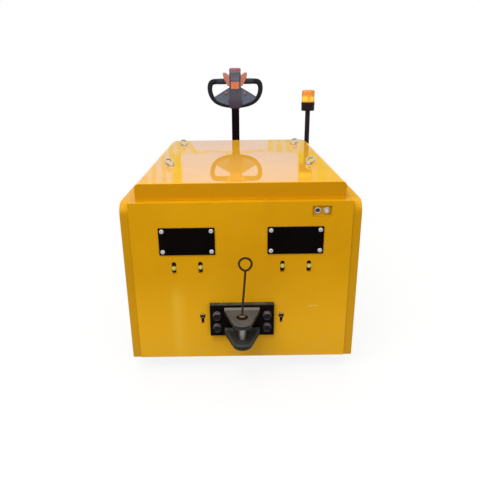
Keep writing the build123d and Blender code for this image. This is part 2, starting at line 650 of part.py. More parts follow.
RIM_INNER_R = LOAD_RIM_R - LOAD_RIM_T
for side, word in ((-1, "left"), (1, "right")):
    plane = wheel_plane(side * LOAD_TRACK_X, AXLE_Y, LOAD_TYRE_R, side)
    spin_axis = Axis((0, AXLE_Y, LOAD_TYRE_R), (1, 0, 0))
    with BuildPart() as load_hub:
        with BuildSketch(plane):
            with BuildLine():
                Polyline((-HUB_HALF, SPINDLE_R + RUNNING_GAP), (-HUB_HALF, BOSS_R), (WEB_NEAR, BOSS_R),
                         (WEB_NEAR, RIM_INNER_R), (-HUB_HALF, RIM_INNER_R), (-HUB_HALF, LOAD_RIM_R),
                         (HUB_HALF, LOAD_RIM_R), (HUB_HALF, RIM_INNER_R), (WEB_FAR, RIM_INNER_R),
                         (WEB_FAR, BOSS_R), (HUB_HALF, BOSS_R), (HUB_HALF, SPINDLE_R + RUNNING_GAP),
                         close=True)
            make_face()
        revolve(axis=spin_axis)
        with BuildSketch(Plane.YZ.offset(side * LOAD_TRACK_X)):
            with Locations((AXLE_Y, LOAD_TYRE_R)):
                with PolarLocations((BOSS_R + RIM_INNER_R) / 2, HAND_HOLES):
                    Circle(HAND_HOLE_R)
        extrude(amount=side * HUB_HALF, mode=Mode.SUBTRACT)
    write_piece(load_hub, "load_hub_" + word)
    with BuildPart() as load_tyre:
        with BuildSketch(plane):
            add(tyre_profile(LOAD_RIM_R + SEAT_GAP, LOAD_TYRE_R, LOAD_RIM_W, LOAD_TYRE_W, LOAD_SHOULDER))
        revolve(axis=spin_axis)
    write_piece(load_tyre, "load_tyre_" + word)

# Drive bay deck, the half-round nose skirt round the drive wheel, and the slewing ring
with BuildPart() as drive_deck:
    with BuildSketch(Plane.XY.offset(NOSE_TOP - NOSE_WALL)):
        bay_near = back(BULKHEAD_BACK)
        bay_far = back(BODY_LENGTH - PANEL_THICKNESS)
        with Locations((0, (bay_near + bay_far) / 2)):
            Rectangle(2 * INNER, bay_far - bay_near)
        with Locations((STEER_X, STEER_Y)):
            Circle(NOSE_R)
            Circle(RING_BORE_R, mode=Mode.SUBTRACT)
        with Locations((STEER_X, bay_near)):
            Rectangle(2 * NOSE_R, NOSE_R, align=(Align.CENTER, Align.MAX), mode=Mode.SUBTRACT)
    extrude(amount=NOSE_WALL)
write_piece(drive_deck, "drive_deck")

with BuildPart() as nose_skirt:
    with BuildSketch(Plane.XY.offset(BODY_BOTTOM)):
        with Locations((STEER_X, STEER_Y)):
            Circle(NOSE_R)
            Rectangle(2 * NOSE_R, 2 * NOSE_R, align=(Align.CENTER, Align.MAX))
            Circle(NOSE_R - NOSE_WALL, mode=Mode.SUBTRACT)
            Rectangle(2 * (NOSE_R - NOSE_WALL), 2 * NOSE_R + 2, align=(Align.CENTER, Align.MAX),
                      mode=Mode.SUBTRACT)
        with Locations((STEER_X, back(BULKHEAD_BACK))):
            Rectangle(2 * NOSE_R, 2 * NOSE_R, align=(Align.CENTER, Align.MAX), mode=Mode.SUBTRACT)
    extrude(amount=NOSE_TOP - NOSE_WALL - BODY_BOTTOM)
write_piece(nose_skirt, "nose_skirt")

with BuildPart() as slewing_ring:
    with BuildSketch(Plane.XY.offset(NOSE_TOP)):
        with Locations((STEER_X, STEER_Y)):
            Circle(RING_R)
            Circle(RING_BORE_R, mode=Mode.SUBTRACT)
    extrude(amount=RING_H)
write_piece(slewing_ring, "slewing_ring")

with BuildPart() as turntable:
    with BuildSketch(Plane.XY.offset(TABLE_Z)):
        with Locations((STEER_X, STEER_Y)):
            Circle(RING_R)
    extrude(amount=TABLE_T)
    with BuildSketch(Plane.XY.offset(TABLE_Z)):
        with Locations((STEER_X, STEER_Y)):
            Circle(RING_BORE_R - RUNNING_GAP)
    extrude(amount=-RING_H)
write_piece(turntable, "turntable")

# Gearbox leg beside the drive wheel, with its round cover
LEG_INNER = STEER_X - DRIVE_TYRE_W / 2 - LEG_GAP
LEG_ROOF = TABLE_Z - RING_H
with BuildPart() as gearbox_leg:
    with BuildSketch(Plane.YZ.offset(LEG_INNER)):
        with Locations((STEER_Y, DRIVE_TYRE_R)):
            Circle(LEG_R)
        with Locations((STEER_Y, LEG_ROOF)):
            Rectangle(1.7 * LEG_R, LEG_ROOF_T, align=(Align.CENTER, Align.MAX))
        make_hull()
        with Locations((STEER_Y, DRIVE_TYRE_R)):
            Circle(STUB_R + RUNNING_GAP, mode=Mode.SUBTRACT)
    extrude(amount=-LEG_T)
    with BuildSketch(Plane.YZ.offset(LEG_INNER - LEG_T)):
        with Locations((STEER_Y, DRIVE_TYRE_R)):
            Circle(LEG_R - 2 * LEG_COVER_T)
        with Locations((STEER_Y, (DRIVE_TYRE_R + LEG_ROOF) / 2)):
            Rectangle(LEG_R / 2, LEG_ROOF - DRIVE_TYRE_R - 2 * LEG_COVER_T)
    extrude(amount=-LEG_COVER_T)
write_piece(gearbox_leg, "gearbox_leg")

# Drive motor on the turntable: flange, finned body, brake and terminal box
FIN_PITCH = MOTOR_BODY_H / FIN_COUNT
BODY_Z = TABLE_TOP + MOTOR_FLANGE
with BuildPart() as drive_motor:
    with BuildSketch(Plane.XY.offset(TABLE_TOP)):
        with Locations((STEER_X, STEER_Y)):
            Circle(MOTOR_R + MOTOR_FLANGE)
    extrude(amount=MOTOR_FLANGE)
    with BuildSketch(Plane.XY.offset(BODY_Z)):
        with Locations((STEER_X, STEER_Y)):
            Circle(MOTOR_CORE_R)
    extrude(amount=MOTOR_BODY_H)
    for index in range(FIN_COUNT):
        with BuildSketch(Plane.XY.offset(BODY_Z + (index + 1) * FIN_PITCH - FIN_T)):
            with Locations((STEER_X, STEER_Y)):
                Circle(MOTOR_R)
        extrude(amount=FIN_T)
    with BuildSketch(Plane.XY.offset(BODY_Z + MOTOR_BODY_H)):
        with Locations((STEER_X, STEER_Y)):
            Circle(BRAKE_R)
    extrude(amount=BRAKE_H)
    chamfer(drive_motor.edges().group_by(Axis.Z)[-1], 8)
    with Locations((STEER_X, STEER_Y - MOTOR_R, BODY_Z + MOTOR_BODY_H / 2)):
        Box(TERMINAL_W, 2 * TERMINAL_DEPTH, TERMINAL_H)
write_piece(drive_motor, "drive_motor")

# Drive wheel with the stub shaft that enters the gearbox
drive_plane = wheel_plane(STEER_X, STEER_Y, DRIVE_TYRE_R, 1)
drive_axis = Axis((0, STEER_Y, DRIVE_TYRE_R), (1, 0, 0))
DRIVE_HALF = DRIVE_TYRE_W / 2
with BuildPart() as drive_hub:
    with BuildSketch(drive_plane):
        with BuildLine():
            Polyline((-DRIVE_HALF - LEG_GAP - LEG_T + 6, 0), (-DRIVE_HALF - LEG_GAP - LEG_T + 6, STUB_R),
                     (-DRIVE_HALF, STUB_R), (-DRIVE_HALF, DRIVE_RIM_R), (DRIVE_HALF, DRIVE_RIM_R),
                     (DRIVE_HALF, DRIVE_DISH_R + 4), (DRIVE_HALF - DRIVE_DISH, DRIVE_DISH_R),
                     (DRIVE_HALF - DRIVE_DISH, DRIVE_BOSS_R + 4), (DRIVE_HALF - 4, DRIVE_BOSS_R),
                     (DRIVE_HALF - 4, 0), close=True)
        make_face()
    revolve(axis=drive_axis)
write_piece(drive_hub, "drive_hub")

with BuildPart() as drive_tyre:
    with BuildSketch(drive_plane):
        add(tyre_profile(DRIVE_RIM_R + SEAT_GAP, DRIVE_TYRE_R, DRIVE_TYRE_W, DRIVE_TYRE_W, DRIVE_SHOULDER))
    revolve(axis=drive_axis)
write_piece(drive_tyre, "drive_tyre")

# Steering arm: a ring round the motor foot, a tongue, and two cheeks with a stiffener at the pivot
CHEEK_X = CHEEK_GAP / 2
CHEEK_FOOT = CHEEK_FOOT_NEAR - CHEEK_FOOT_FAR
ARM_TOP = TABLE_TOP + ARM_T
with BuildPart() as steering_arm:
    with BuildSketch(Plane.XY.offset(TABLE_TOP)):
        with Locations((STEER_X, STEER_Y)):
            Circle(MOTOR_R + ARM_RING)
        with Locations((STEER_X, PIVOT_Y - 2 * CHEEK_FOOT_FAR)):
            Rectangle(CHEEK_GAP + 2 * CHEEK_T, 2 * CHEEK_FOOT_FAR)
        make_hull()
        with Locations((STEER_X, STEER_Y)):
            Circle(MOTOR_R + MOTOR_FLANGE + SEAT_GAP, mode=Mode.SUBTRACT)
    extrude(amount=ARM_T)
    for side in (-1, 1):
        with BuildSketch(Plane.YZ.offset(STEER_X + side * CHEEK_X)):
            with Locations((PIVOT_Y, PIVOT_Z)):
                Circle(CHEEK_R)
            with Locations((PIVOT_Y - CHEEK_FOOT_FAR - CHEEK_FOOT / 2, TABLE_TOP + ARM_T / 2)):
                Rectangle(CHEEK_FOOT, ARM_T)
            make_hull()
            with Locations((PIVOT_Y, PIVOT_Z)):
                Circle(PIVOT_PIN_R + RUNNING_GAP, mode=Mode.SUBTRACT)
        extrude(amount=side * CHEEK_T)
    with Locations((STEER_X, PIVOT_Y - 2 * CHEEK_FOOT_FAR, (ARM_TOP + PIVOT_Z) / 2)):
        Box(CHEEK_GAP, CHEEK_T, PIVOT_Z - ARM_TOP)
write_piece(steering_arm, "steering_arm")

with BuildPart() as pivot_pin:
    pin_half = CHEEK_X + CHEEK_T + SEAT_GAP
    with BuildSketch(Plane.YZ.offset(STEER_X)):
        with Locations((PIVOT_Y, PIVOT_Z)):
            Circle(PIVOT_PIN_R)
    extrude(amount=pin_half, both=True)
    for side in (-1, 1):
        with BuildSketch(Plane.YZ.offset(STEER_X + side * pin_half)):
            with Locations((PIVOT_Y, PIVOT_Z)):
                Circle(PIVOT_PIN_R + 6)
        extrude(amount=side * 6)
write_piece(pivot_pin, "pivot_pin")

# Tiller tube with its pivot boss
with BuildPart() as tiller_tube:
    with BuildSketch(Plane.XY.offset(PIVOT_Z)):
        with Locations((STEER_X, PIVOT_Y)):
            RectangleRounded(TUBE_W, TUBE_D, TUBE_CORNER_R)
    extrude(amount=NECK_Z - PIVOT_Z)
    with BuildSketch(Plane.YZ.offset(STEER_X)):
        with Locations((PIVOT_Y, PIVOT_Z)):
            Circle(PIVOT_BOSS_R)
    extrude(amount=CHEEK_X - SEAT_GAP, both=True)
    with BuildSketch(Plane.YZ.offset(STEER_X)):
        with Locations((PIVOT_Y, PIVOT_Z)):
            Circle(PIVOT_PIN_R + RUNNING_GAP)
    extrude(amount=CHEEK_X, both=True, mode=Mode.SUBTRACT)
write_piece(tiller_tube, "tiller_tube")

# Tiller head: one moulded shell with a central column and two wings
HEAD_PLANE = Plane(origin=(STEER_X, PIVOT_Y, 0), x_dir=(1, 0, 0), z_dir=(0, -1, 0))
HEAD_FACE = HEAD_PLANE.offset(HEAD_DEPTH / 2)
COLUMN_HALF = COLUMN_W / 2
HEAD_OUTLINE = (  # half width, drop below the top of the head
    (COLUMN_HALF, CAP_H),
    (COLUMN_HALF, SHOULDER_DROP),
    (WING_HALF, WING_CORNER_DROP),
    (WING_HALF, WING_LOW_DROP),
    (HIP_HALF, HIP_DROP),
    (NECK_HALF, NECK_DROP),
)
right_side = [(half, HEAD_TOP - drop) for half, drop in HEAD_OUTLINE]
left_side = [(-half, height) for half, height in reversed(right_side)]
with BuildPart() as tiller_head:
    with BuildSketch(HEAD_PLANE) as head_outline:
        with BuildLine():
            Polyline(*right_side, *left_side, close=True)
        make_face()
        bends = head_outline.vertices().filter_by_position(Axis.Y, NECK_Z + 1, BUTTON_SEAT - 1)
        fillet(bends, HEAD_CORNER_R)
    extrude(amount=HEAD_DEPTH / 2, both=True)
    faces = tiller_head.faces().sort_by(Axis.Y)
    for face in (faces[0], faces[-1]):
        rims = face.edges().filter_by_position(Axis.Z, NECK_Z + 1, BUTTON_SEAT - 1)
        chamfer(rims, HEAD_EDGE)
write_piece(tiller_head, "tiller_head")

with BuildPart() as belly_button:
    with BuildSketch(Plane.XY.offset(BUTTON_SEAT)):
        with Locations((STEER_X, PIVOT_Y)):
            RectangleRounded(COLUMN_W, HEAD_DEPTH, 8)
    extrude(amount=CAP_H)
    chamfer(belly_button.edges().group_by(Axis.Z)[-1], CAP_EDGE)
write_piece(belly_button, "belly_button")

# Loops of the handle: from the grip's end round the side and under the wing to the neck
LOOP_PATH_R = LOOP_HALF - LOOP_TUBE_R
with BuildPart() as handle_loops:
    for side in (-1, 1):
        with BuildLine(HEAD_PLANE) as loop_line:
            FilletPolyline((side * GRIP_END, GRIP_Z), (side * LOOP_PATH_R, GRIP_Z),
                           (side * LOOP_PATH_R, HEAD_TOP - LOOP_SIDE_DROP),
                           (side * WING_HALF, HEAD_TOP - WING_LOW_DROP - LOOP_TUBE_R / 2),
                           (side * NECK_HALF, HEAD_TOP - LOOP_FOOT_DROP), radius=LOOP_BEND_R)
        with BuildSketch(Plane(origin=loop_line.wires()[0] @ 0, z_dir=loop_line.wires()[0] % 0)):
            Circle(LOOP_TUBE_R)
        sweep()
    with BuildSketch(HEAD_PLANE):
        add(head_outline.sketch_local)
        offset(amount=SEAT_GAP)
    extrude(amount=HEAD_DEPTH / 2, both=True, mode=Mode.SUBTRACT)
write_piece(handle_loops, "handle_loops")

# Grips with a finger flange next to the column
with BuildPart() as handle_grips:
    for side in (-1, 1):
        with BuildSketch(Plane.YZ.offset(STEER_X + side * COLUMN_HALF)):
            with Locations((PIVOT_Y, GRIP_Z)):
                Circle(GRIP_FLANGE_R)
        extrude(amount=side * GRIP_FLANGE_T)
        with BuildSketch(Plane.YZ.offset(STEER_X + side * COLUMN_HALF)):
            with Locations((PIVOT_Y, GRIP_Z)):
                Circle(GRIP_R)
        extrude(amount=side * (GRIP_END - COLUMN_HALF))
    chamfer(handle_grips.edges().filter_by(GeomType.CIRCLE).group_by(Axis.X)[0], 3)
    chamfer(handle_grips.edges().filter_by(GeomType.CIRCLE).group_by(Axis.X)[-1], 3)
write_piece(handle_grips, "handle_grips")

# Thumb levers, display panel and buttons on the hitch side of the head
LEVER_OUTLINE = (  # distance from the middle, drop below the top of the head
    (34.0, 127.0),
    (60.0, 135.0),
    (98.0, 43.0),
    (84.0, 37.0),
    (40.0, 82.0),
)
with BuildPart() as thumb_levers:
    for side in (-1, 1):
        with BuildSketch(HEAD_FACE) as lever:
            with BuildLine():
                Polyline(*[(side * x, HEAD_TOP - drop) for x, drop in LEVER_OUTLINE], close=True)
            make_face()
            fillet(lever.vertices().group_by(Axis.Y)[-1], 4)
        extrude(amount=LEVER_T)
    chamfer(thumb_levers.faces().sort_by(Axis.Y)[:2].edges(), 1.5)
write_piece(thumb_levers, "thumb_levers")

HEAD_FITTINGS = (  # name, width, drop to the low edge, drop to the high edge, thickness, corner radius
    ("display_panel", 66.0, 94.0, 32.0, 2.0, 5.0),
    ("horn_button", 64.0, 154.0, 101.0, 4.0, 5.0),
)
for name, width, low, high, thickness, corner in HEAD_FITTINGS:
    with BuildPart() as fitting:
        with BuildSketch(HEAD_FACE):
            with Locations((0, HEAD_TOP - (low + high) / 2)):
                RectangleRounded(width, low - high, corner)
        extrude(amount=thickness)
        chamfer(fitting.faces().sort_by(Axis.Y)[0].edges(), thickness / 3)
    write_piece(fitting, name)

with BuildPart() as wing_buttons:
    for side in (-1, 1):
        with BuildSketch(HEAD_FACE):
            with Locations((side * WING_BUTTON_X, HEAD_TOP - WING_BUTTON_DROP)):
                Circle(WING_BUTTON_R)
        extrude(amount=5)
    chamfer(wing_buttons.faces().sort_by(Axis.Y)[:2].edges(), 1.5)
write_piece(wing_buttons, "wing_buttons")

# Warning beacon on its post
BASE_Z = LENS_Z - BEACON_BASE_H
with BuildPart() as beacon_post:
    with BuildSketch(Plane.XY.offset(DECK_TOP)):
        with Locations((BEACON_X, BEACON_Y)):
            Circle(POST_FOOT_R)
    extrude(amount=POST_FLANGE_H)
    with BuildSketch(Plane.XY.offset(DECK_TOP)):
        with Locations((BEACON_X, BEACON_Y)):
            Circle(POST_R)
    extrude(amount=BASE_Z - DECK_TOP)
write_piece(beacon_post, "beacon_post")

BEACON_AXIS = Axis((BEACON_X, BEACON_Y, 0), (0, 0, 1))
BEACON_PLANE = Plane(origin=(BEACON_X, BEACON_Y, 0), x_dir=(1, 0, 0), z_dir=(0, -1, 0))
with BuildPart() as beacon_base:
    with BuildSketch(BEACON_PLANE):
        with BuildLine():
            Polyline((0, BASE_Z), (LENS_R - 16, BASE_Z), (LENS_R - 4, BASE_Z + 6), (LENS_R - 4, LENS_Z - 18),
                     (LENS_R, LENS_Z - 14), (LENS_R, LENS_Z), (0, LENS_Z), close=True)
        make_face()
    revolve(axis=BEACON_AXIS)
write_piece(beacon_base, "beacon_base")

LENS_TOP = LENS_Z + LENS_H
LENS_PROFILE = (  # radius, distance below the top
    (LENS_R - 1, LENS_H),
    (LENS_R - 3, 12.0),
    (LENS_R - 6, 5.0),
    (LENS_R - 12, 1.0),
    (LENS_R - 18, 0.0),
)
with BuildPart() as beacon_lens:
    with BuildSketch(BEACON_PLANE):
        with BuildLine():
            Polyline((0, LENS_Z), *[(radius, LENS_TOP - drop) for radius, drop in LENS_PROFILE], (0, LENS_TOP),
                     close=True)
        make_face()
    revolve(axis=BEACON_AXIS)
write_piece(beacon_lens, "beacon_lens")
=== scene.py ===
"""Looks of the pedestrian tow tractor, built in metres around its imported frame."""

import logging
import math
from dataclasses import dataclass, field
from enum import Enum
from functools import cache, reduce
from typing import Callable, Iterable, Sequence, Union

import bpy
from mathutils import Euler, Matrix, Vector


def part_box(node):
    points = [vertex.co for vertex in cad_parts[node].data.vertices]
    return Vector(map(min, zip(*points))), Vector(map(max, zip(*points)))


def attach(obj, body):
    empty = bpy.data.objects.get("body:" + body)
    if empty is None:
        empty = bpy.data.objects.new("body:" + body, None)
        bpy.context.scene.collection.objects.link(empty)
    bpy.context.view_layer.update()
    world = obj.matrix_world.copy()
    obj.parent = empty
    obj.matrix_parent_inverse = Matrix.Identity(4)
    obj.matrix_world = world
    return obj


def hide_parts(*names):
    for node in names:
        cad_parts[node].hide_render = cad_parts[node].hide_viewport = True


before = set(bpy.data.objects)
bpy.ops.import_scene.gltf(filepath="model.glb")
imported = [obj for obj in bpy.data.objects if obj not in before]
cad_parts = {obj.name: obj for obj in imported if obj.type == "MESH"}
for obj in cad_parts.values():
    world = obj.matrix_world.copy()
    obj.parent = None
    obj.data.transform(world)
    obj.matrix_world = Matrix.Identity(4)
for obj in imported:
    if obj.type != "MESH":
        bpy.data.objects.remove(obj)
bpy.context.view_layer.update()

LOG = logging.getLogger("tow_tractor")

Point = tuple[float, float, float]
Colour = tuple[float, float, float, float]
Piece = bpy.types.Object
Material = bpy.types.Material
FaceTest = Callable[[Vector, Vector], bool]
Value = Union["Signal", float, Sequence[float]]

FACE_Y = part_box("hitch_face_plate")[0][1]
KEYHOLE_X = 0.188
SMOOTH_ANGLE = math.radians(32)
MERGE = 1e-5
EVEN: Point = (1.0, 1.0, 1.0)
ORIGIN: Point = (0.0, 0.0, 0.0)
WHITE: Colour = (1.0, 1.0, 1.0, 1.0)


class Along(Enum):
    """Direction in which the axis of a turned piece points."""

    UP = (0.0, 0.0, 0.0)
    TO_HITCH = (math.pi / 2, 0.0, 0.0)
    TO_TILLER = (-math.pi / 2, 0.0, 0.0)
    RIGHT = (0.0, math.pi / 2, 0.0)
    LEFT = (0.0, -math.pi / 2, 0.0)


def shade(red: float, green: float, blue: float) -> Colour:
    """Linear colour of a display colour.

    Args:
        red: Red from 0 to 255 as a screen shows it.
        green: Green from 0 to 255.
        blue: Blue from 0 to 255.

    Returns:
        The colour as a shader socket takes it.
    """
    def linear(value: float) -> float:
        """Linear light of one display value."""
        part = value / 255
        return part / 12.92 if part <= 0.04045 else ((part + 0.055) / 1.055) ** 2.4
    return (linear(red), linear(green), linear(blue), 1.0)


def middle(node: str) -> Vector:
    """Middle of a CAD node's box."""
    low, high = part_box(node)
    return (Vector(low) + Vector(high)) / 2


def facing(*way: float) -> FaceTest:
    """Test for faces that point along this direction."""
    return lambda centre, normal: normal.dot(Vector(way)) > 0.9


class Bench:
    """Modelling steps that every sub-assembly uses."""

    @staticmethod
    def clear() -> None:
        """Go to object mode with nothing selected."""
        if bpy.context.mode != "OBJECT":
            bpy.ops.object.mode_set(mode="OBJECT")
        bpy.ops.object.select_all(action="DESELECT")

    @staticmethod
    def pick(*pieces: Piece) -> None:
        """Select these pieces alone and make the first one active."""
        Bench.clear()
        for piece in pieces:
            piece.select_set(True)
        bpy.context.view_layer.objects.active = pieces[0]

    @staticmethod
    def named(name: str) -> Piece:
        """Name the piece that an operator has just made."""
        piece = bpy.context.active_object
        piece.name = name
        return piece

    @staticmethod
    def settle(piece: Piece) -> Piece:
        """Put a piece's place, turn and scale into its mesh."""
        Bench.pick(piece)
        bpy.ops.object.transform_apply(location=True, rotation=True, scale=True)
        return piece

    @staticmethod
    def place(piece: Piece, spot: Sequence[float], along: Along = Along.UP, turn: float = 0.0) -> Piece:
        """Move a piece that was modelled at the origin to its spot.

        Args:
            piece: The piece, modelled upright at the origin.
            spot: Where its origin goes.
            along: Direction that its own up takes.
            turn: Turn about its own axis before that, in degrees.

        Returns:
            The settled piece.
        """
        way = Euler(along.value).to_matrix() @ Matrix.Rotation(math.radians(turn), 3, "Z")
        piece.rotation_euler = way.to_euler()
        piece.location = spot
        return Bench.settle(piece)

    @staticmethod
    def block(name: str, low: Sequence[float], high: Sequence[float]) -> Piece:
        """Add a cube between two corners."""
        Bench.clear()
        centre = [(a + b) / 2 for a, b in zip(low, high)]
        bpy.ops.mesh.primitive_cube_add(size=1.0, location=centre)
        piece = Bench.named(name)
        piece.scale = [b - a for a, b in zip(low, high)]
        return Bench.settle(piece)

    @staticmethod
    def hexagon(name: str, flats: float, height: float) -> Piece:
        """Add an upright hexagon that stands on the origin."""
        Bench.clear()
        bpy.ops.mesh.primitive_cylinder_add(vertices=6, radius=flats / math.sqrt(3), depth=height,
                                            location=(0, 0, height / 2))
        return Bench.settle(Bench.named(name))

    @staticmethod
    def turned(name: str, profile: Sequence[tuple[float, float]], sides: int = 48, hollow: bool = False,
               scale: tuple[float, float] = (1.0, 1.0)) -> Piece:
        """Model a turned piece by extruding and resizing one circle.

        Args:
            name: The piece's name.
            profile: Radius and height of each step, upwards along Z from the origin.
            sides: Vertices round the circle.
            hollow: True for a ring, whose profile runs back to its start.
            scale: Factors on the profile's radii and heights.

        Returns:
            The piece, standing on the origin.
        """
        steps = [(radius * scale[0], height * scale[1]) for radius, height in profile]
        if hollow:
            steps.append(steps[0])
        Bench.clear()
        radius, height = steps[0]
        bpy.ops.mesh.primitive_circle_add(vertices=sides, radius=radius,
                                          fill_type="NOTHING" if hollow else "NGON")
        piece = Bench.named(name)
        bpy.ops.object.mode_set(mode="EDIT")
        bpy.ops.mesh.select_mode(type="VERT")
        bpy.ops.mesh.select_all(action="SELECT")
        bpy.ops.transform.translate(value=(0, 0, height))
        for next_radius, next_height in steps[1:]:
            bpy.ops.mesh.extrude_region_move(
                TRANSFORM_OT_translate={"value": (0, 0, next_height - height)})
            grow = next_radius / radius
            if abs(grow - 1) > 1e-6:
                bpy.ops.transform.resize(value=(grow, grow, 1), center_override=(0, 0, next_height))
            radius, height = next_radius, next_height
        return Bench.soften(Bench.outwards(piece, merge=True))

    @staticmethod
    def bent_rod(name: str, points: Sequence[Point], radius: float, closed: bool = False,
                 swell: Sequence[float] = (), sides: int = 5) -> Piece:
        """Model a bent round bar along smooth points.

        Args:
            name: The piece's name.
            points: Points that guide the bar's centre line.
            radius: Radius of the bar.
            closed: True for a ring.
            swell: Factor on the radius at each point, or nothing for an even bar.
            sides: Bevel resolution of the bar.

        Returns:
            The bar as a mesh.
        """
        Bench.clear()
        bpy.ops.curve.primitive_nurbs_path_add()
        path = Bench.named(name)
        line = path.data
        line.splines.clear()
        spline = line.splines.new("NURBS")
        spline.points.add(len(points) - 1)
        for knot, point, factor in zip(spline.points, points, swell or [1.0] * len(points)):
            knot.co = (*point, 1.0)
            knot.radius = factor
        spline.use_cyclic_u = closed
        spline.order_u = 3
        spline.use_endpoint_u = not closed
        line.resolution_u = 10
        line.bevel_depth = radius
        line.bevel_resolution = sides
        line.use_fill_caps = not closed
        Bench.pick(path)
        bpy.ops.object.convert(target="MESH")
        return Bench.soften(Bench.outwards(bpy.context.active_object, merge=True))

    @staticmethod
    def outwards(piece: Piece, merge: bool) -> Piece:
        """Merge the active piece's doubles, where asked, and turn its faces outwards."""
        bpy.ops.object.mode_set(mode="EDIT")
        bpy.ops.mesh.select_all(action="SELECT")
        if merge:
            bpy.ops.mesh.remove_doubles(threshold=MERGE)
        bpy.ops.mesh.normals_make_consistent(inside=False)
        return Bench.done(piece)

    @staticmethod
    def choose_faces(piece: Piece, test: FaceTest) -> None:
        """Enter edit mode with the faces selected that pass a test on centre and normal."""
        Bench.pick(piece)
        mesh = piece.data
        mesh.vertices.foreach_set("select", [False] * len(mesh.vertices))
        mesh.edges.foreach_set("select", [False] * len(mesh.edges))
        mesh.polygons.foreach_set("select", [test(p.center, p.normal) for p in mesh.polygons])
        bpy.ops.object.mode_set(mode="EDIT")
        bpy.ops.mesh.select_mode(type="FACE")

    @staticmethod
    def done(piece: Piece) -> Piece:
        """Leave edit mode."""
        bpy.ops.object.mode_set(mode="OBJECT")
        return piece

    @staticmethod
    def extrude(piece: Piece, test: FaceTest, move: Point, scale: Point = EVEN) -> Piece:
        """Extrude the chosen faces and resize their far end about its own middle.

        Args:
            piece: The piece to shape.
            test: Test on a face's centre and normal.
            move: How far the faces move.
            scale: Factors on the far end.

        Returns:
            The same piece.
        """
        centres = [p.center.copy() for p in piece.data.polygons if test(p.center, p.normal)]
        target = sum(centres, Vector()) / len(centres) + Vector(move)
        Bench.choose_faces(piece, test)
        bpy.ops.mesh.extrude_region_move(TRANSFORM_OT_translate={"value": move})
        bpy.ops.transform.resize(value=scale, center_override=target)
        return Bench.done(piece)

    @staticmethod
    def sink(piece: Piece, test: FaceTest, rim: float, depth: Point) -> Piece:
        """Inset the chosen faces by a rim and push them in."""
        Bench.choose_faces(piece, test)
        bpy.ops.mesh.inset(thickness=rim)
        bpy.ops.mesh.extrude_region_move(TRANSFORM_OT_translate={"value": depth})
        return Bench.done(piece)

    @staticmethod
    def crown(piece: Piece, test: FaceTest, rim: float, move: Point) -> Piece:
        """Inset the chosen faces by a rim and move them, which slopes the rim."""
        Bench.choose_faces(piece, test)
        bpy.ops.mesh.inset(thickness=rim)
        bpy.ops.transform.translate(value=move)
        return Bench.done(piece)

    @staticmethod
    def slice(piece: Piece, spot: Point, normal: Point) -> Piece:
        """Cut new edges through the whole piece on one plane."""
        Bench.pick(piece)
        bpy.ops.object.mode_set(mode="EDIT")
        bpy.ops.mesh.select_all(action="SELECT")
        bpy.ops.mesh.bisect(plane_co=spot, plane_no=normal)
        return Bench.done(piece)

    @staticmethod
    def round_edges(piece: Piece, width: float, steps: int = 3, angle: float = 30.0) -> Piece:
        """Bevel every edge sharper than an angle in degrees."""
        Bench.pick(piece)
        bevel = piece.modifiers.new("rounding", "BEVEL")
        bevel.width = width
        bevel.segments = steps
        bevel.limit_method = "ANGLE"
        bevel.angle_limit = math.radians(angle)
        bevel.use_clamp_overlap = True
        bpy.ops.object.modifier_apply(modifier=bevel.name)
        return Bench.soften(piece)

    @staticmethod
    def soften(piece: Piece) -> Piece:
        """Shade a piece smooth apart from its sharp edges."""
        Bench.pick(piece)
        bpy.ops.object.shade_smooth_by_angle(angle=SMOOTH_ANGLE)
        return piece

    @staticmethod
    def copy(piece: Piece, name: str) -> Piece:
        """Copy a piece with its own mesh."""
        Bench.pick(piece)
        bpy.ops.object.duplicate(linked=False)
        return Bench.named(name)

    @staticmethod
    def mirrored(piece: Piece, name: str, plane_x: float) -> Piece:
        """Copy a piece to the other side of an upright plane at this X."""
        twin = Bench.copy(piece, name)
        twin.scale = (-1, 1, 1)
        twin.location = (2 * plane_x, 0, 0)
        return Bench.outwards(Bench.settle(twin), merge=False)

    @staticmethod
    def join(name: str, pieces: Sequence[Piece]) -> Piece:
        """Join pieces into one with one mesh."""
        Bench.pick(*pieces)
        if len(pieces) > 1:
            bpy.ops.object.join()
        return Bench.named(name)

    @staticmethod
    def rows(name: str, model: Piece, spots: Iterable[Sequence[float]], along: Along = Along.UP,
             turns: Sequence[float] = (0.0,)) -> Piece:
        """Copy a piece modelled at the origin to every spot and join the copies.

        Args:
            name: Name of the joined piece.
            model: Piece modelled upright at the origin; it is used up.
            spots: Where the copies go.
            along: Direction that their own up takes.
            turns: Turns about their own axes in degrees, used one after another.

        Returns:
            The joined piece.
        """
        made = []
        for index, spot in enumerate(spots):
            twin = Bench.copy(model, f"{name}_{index}")
            made.append(Bench.place(twin, spot, along, turns[index % len(turns)]))
        bpy.data.objects.remove(model, do_unlink=True)
        return Bench.join(name, made)


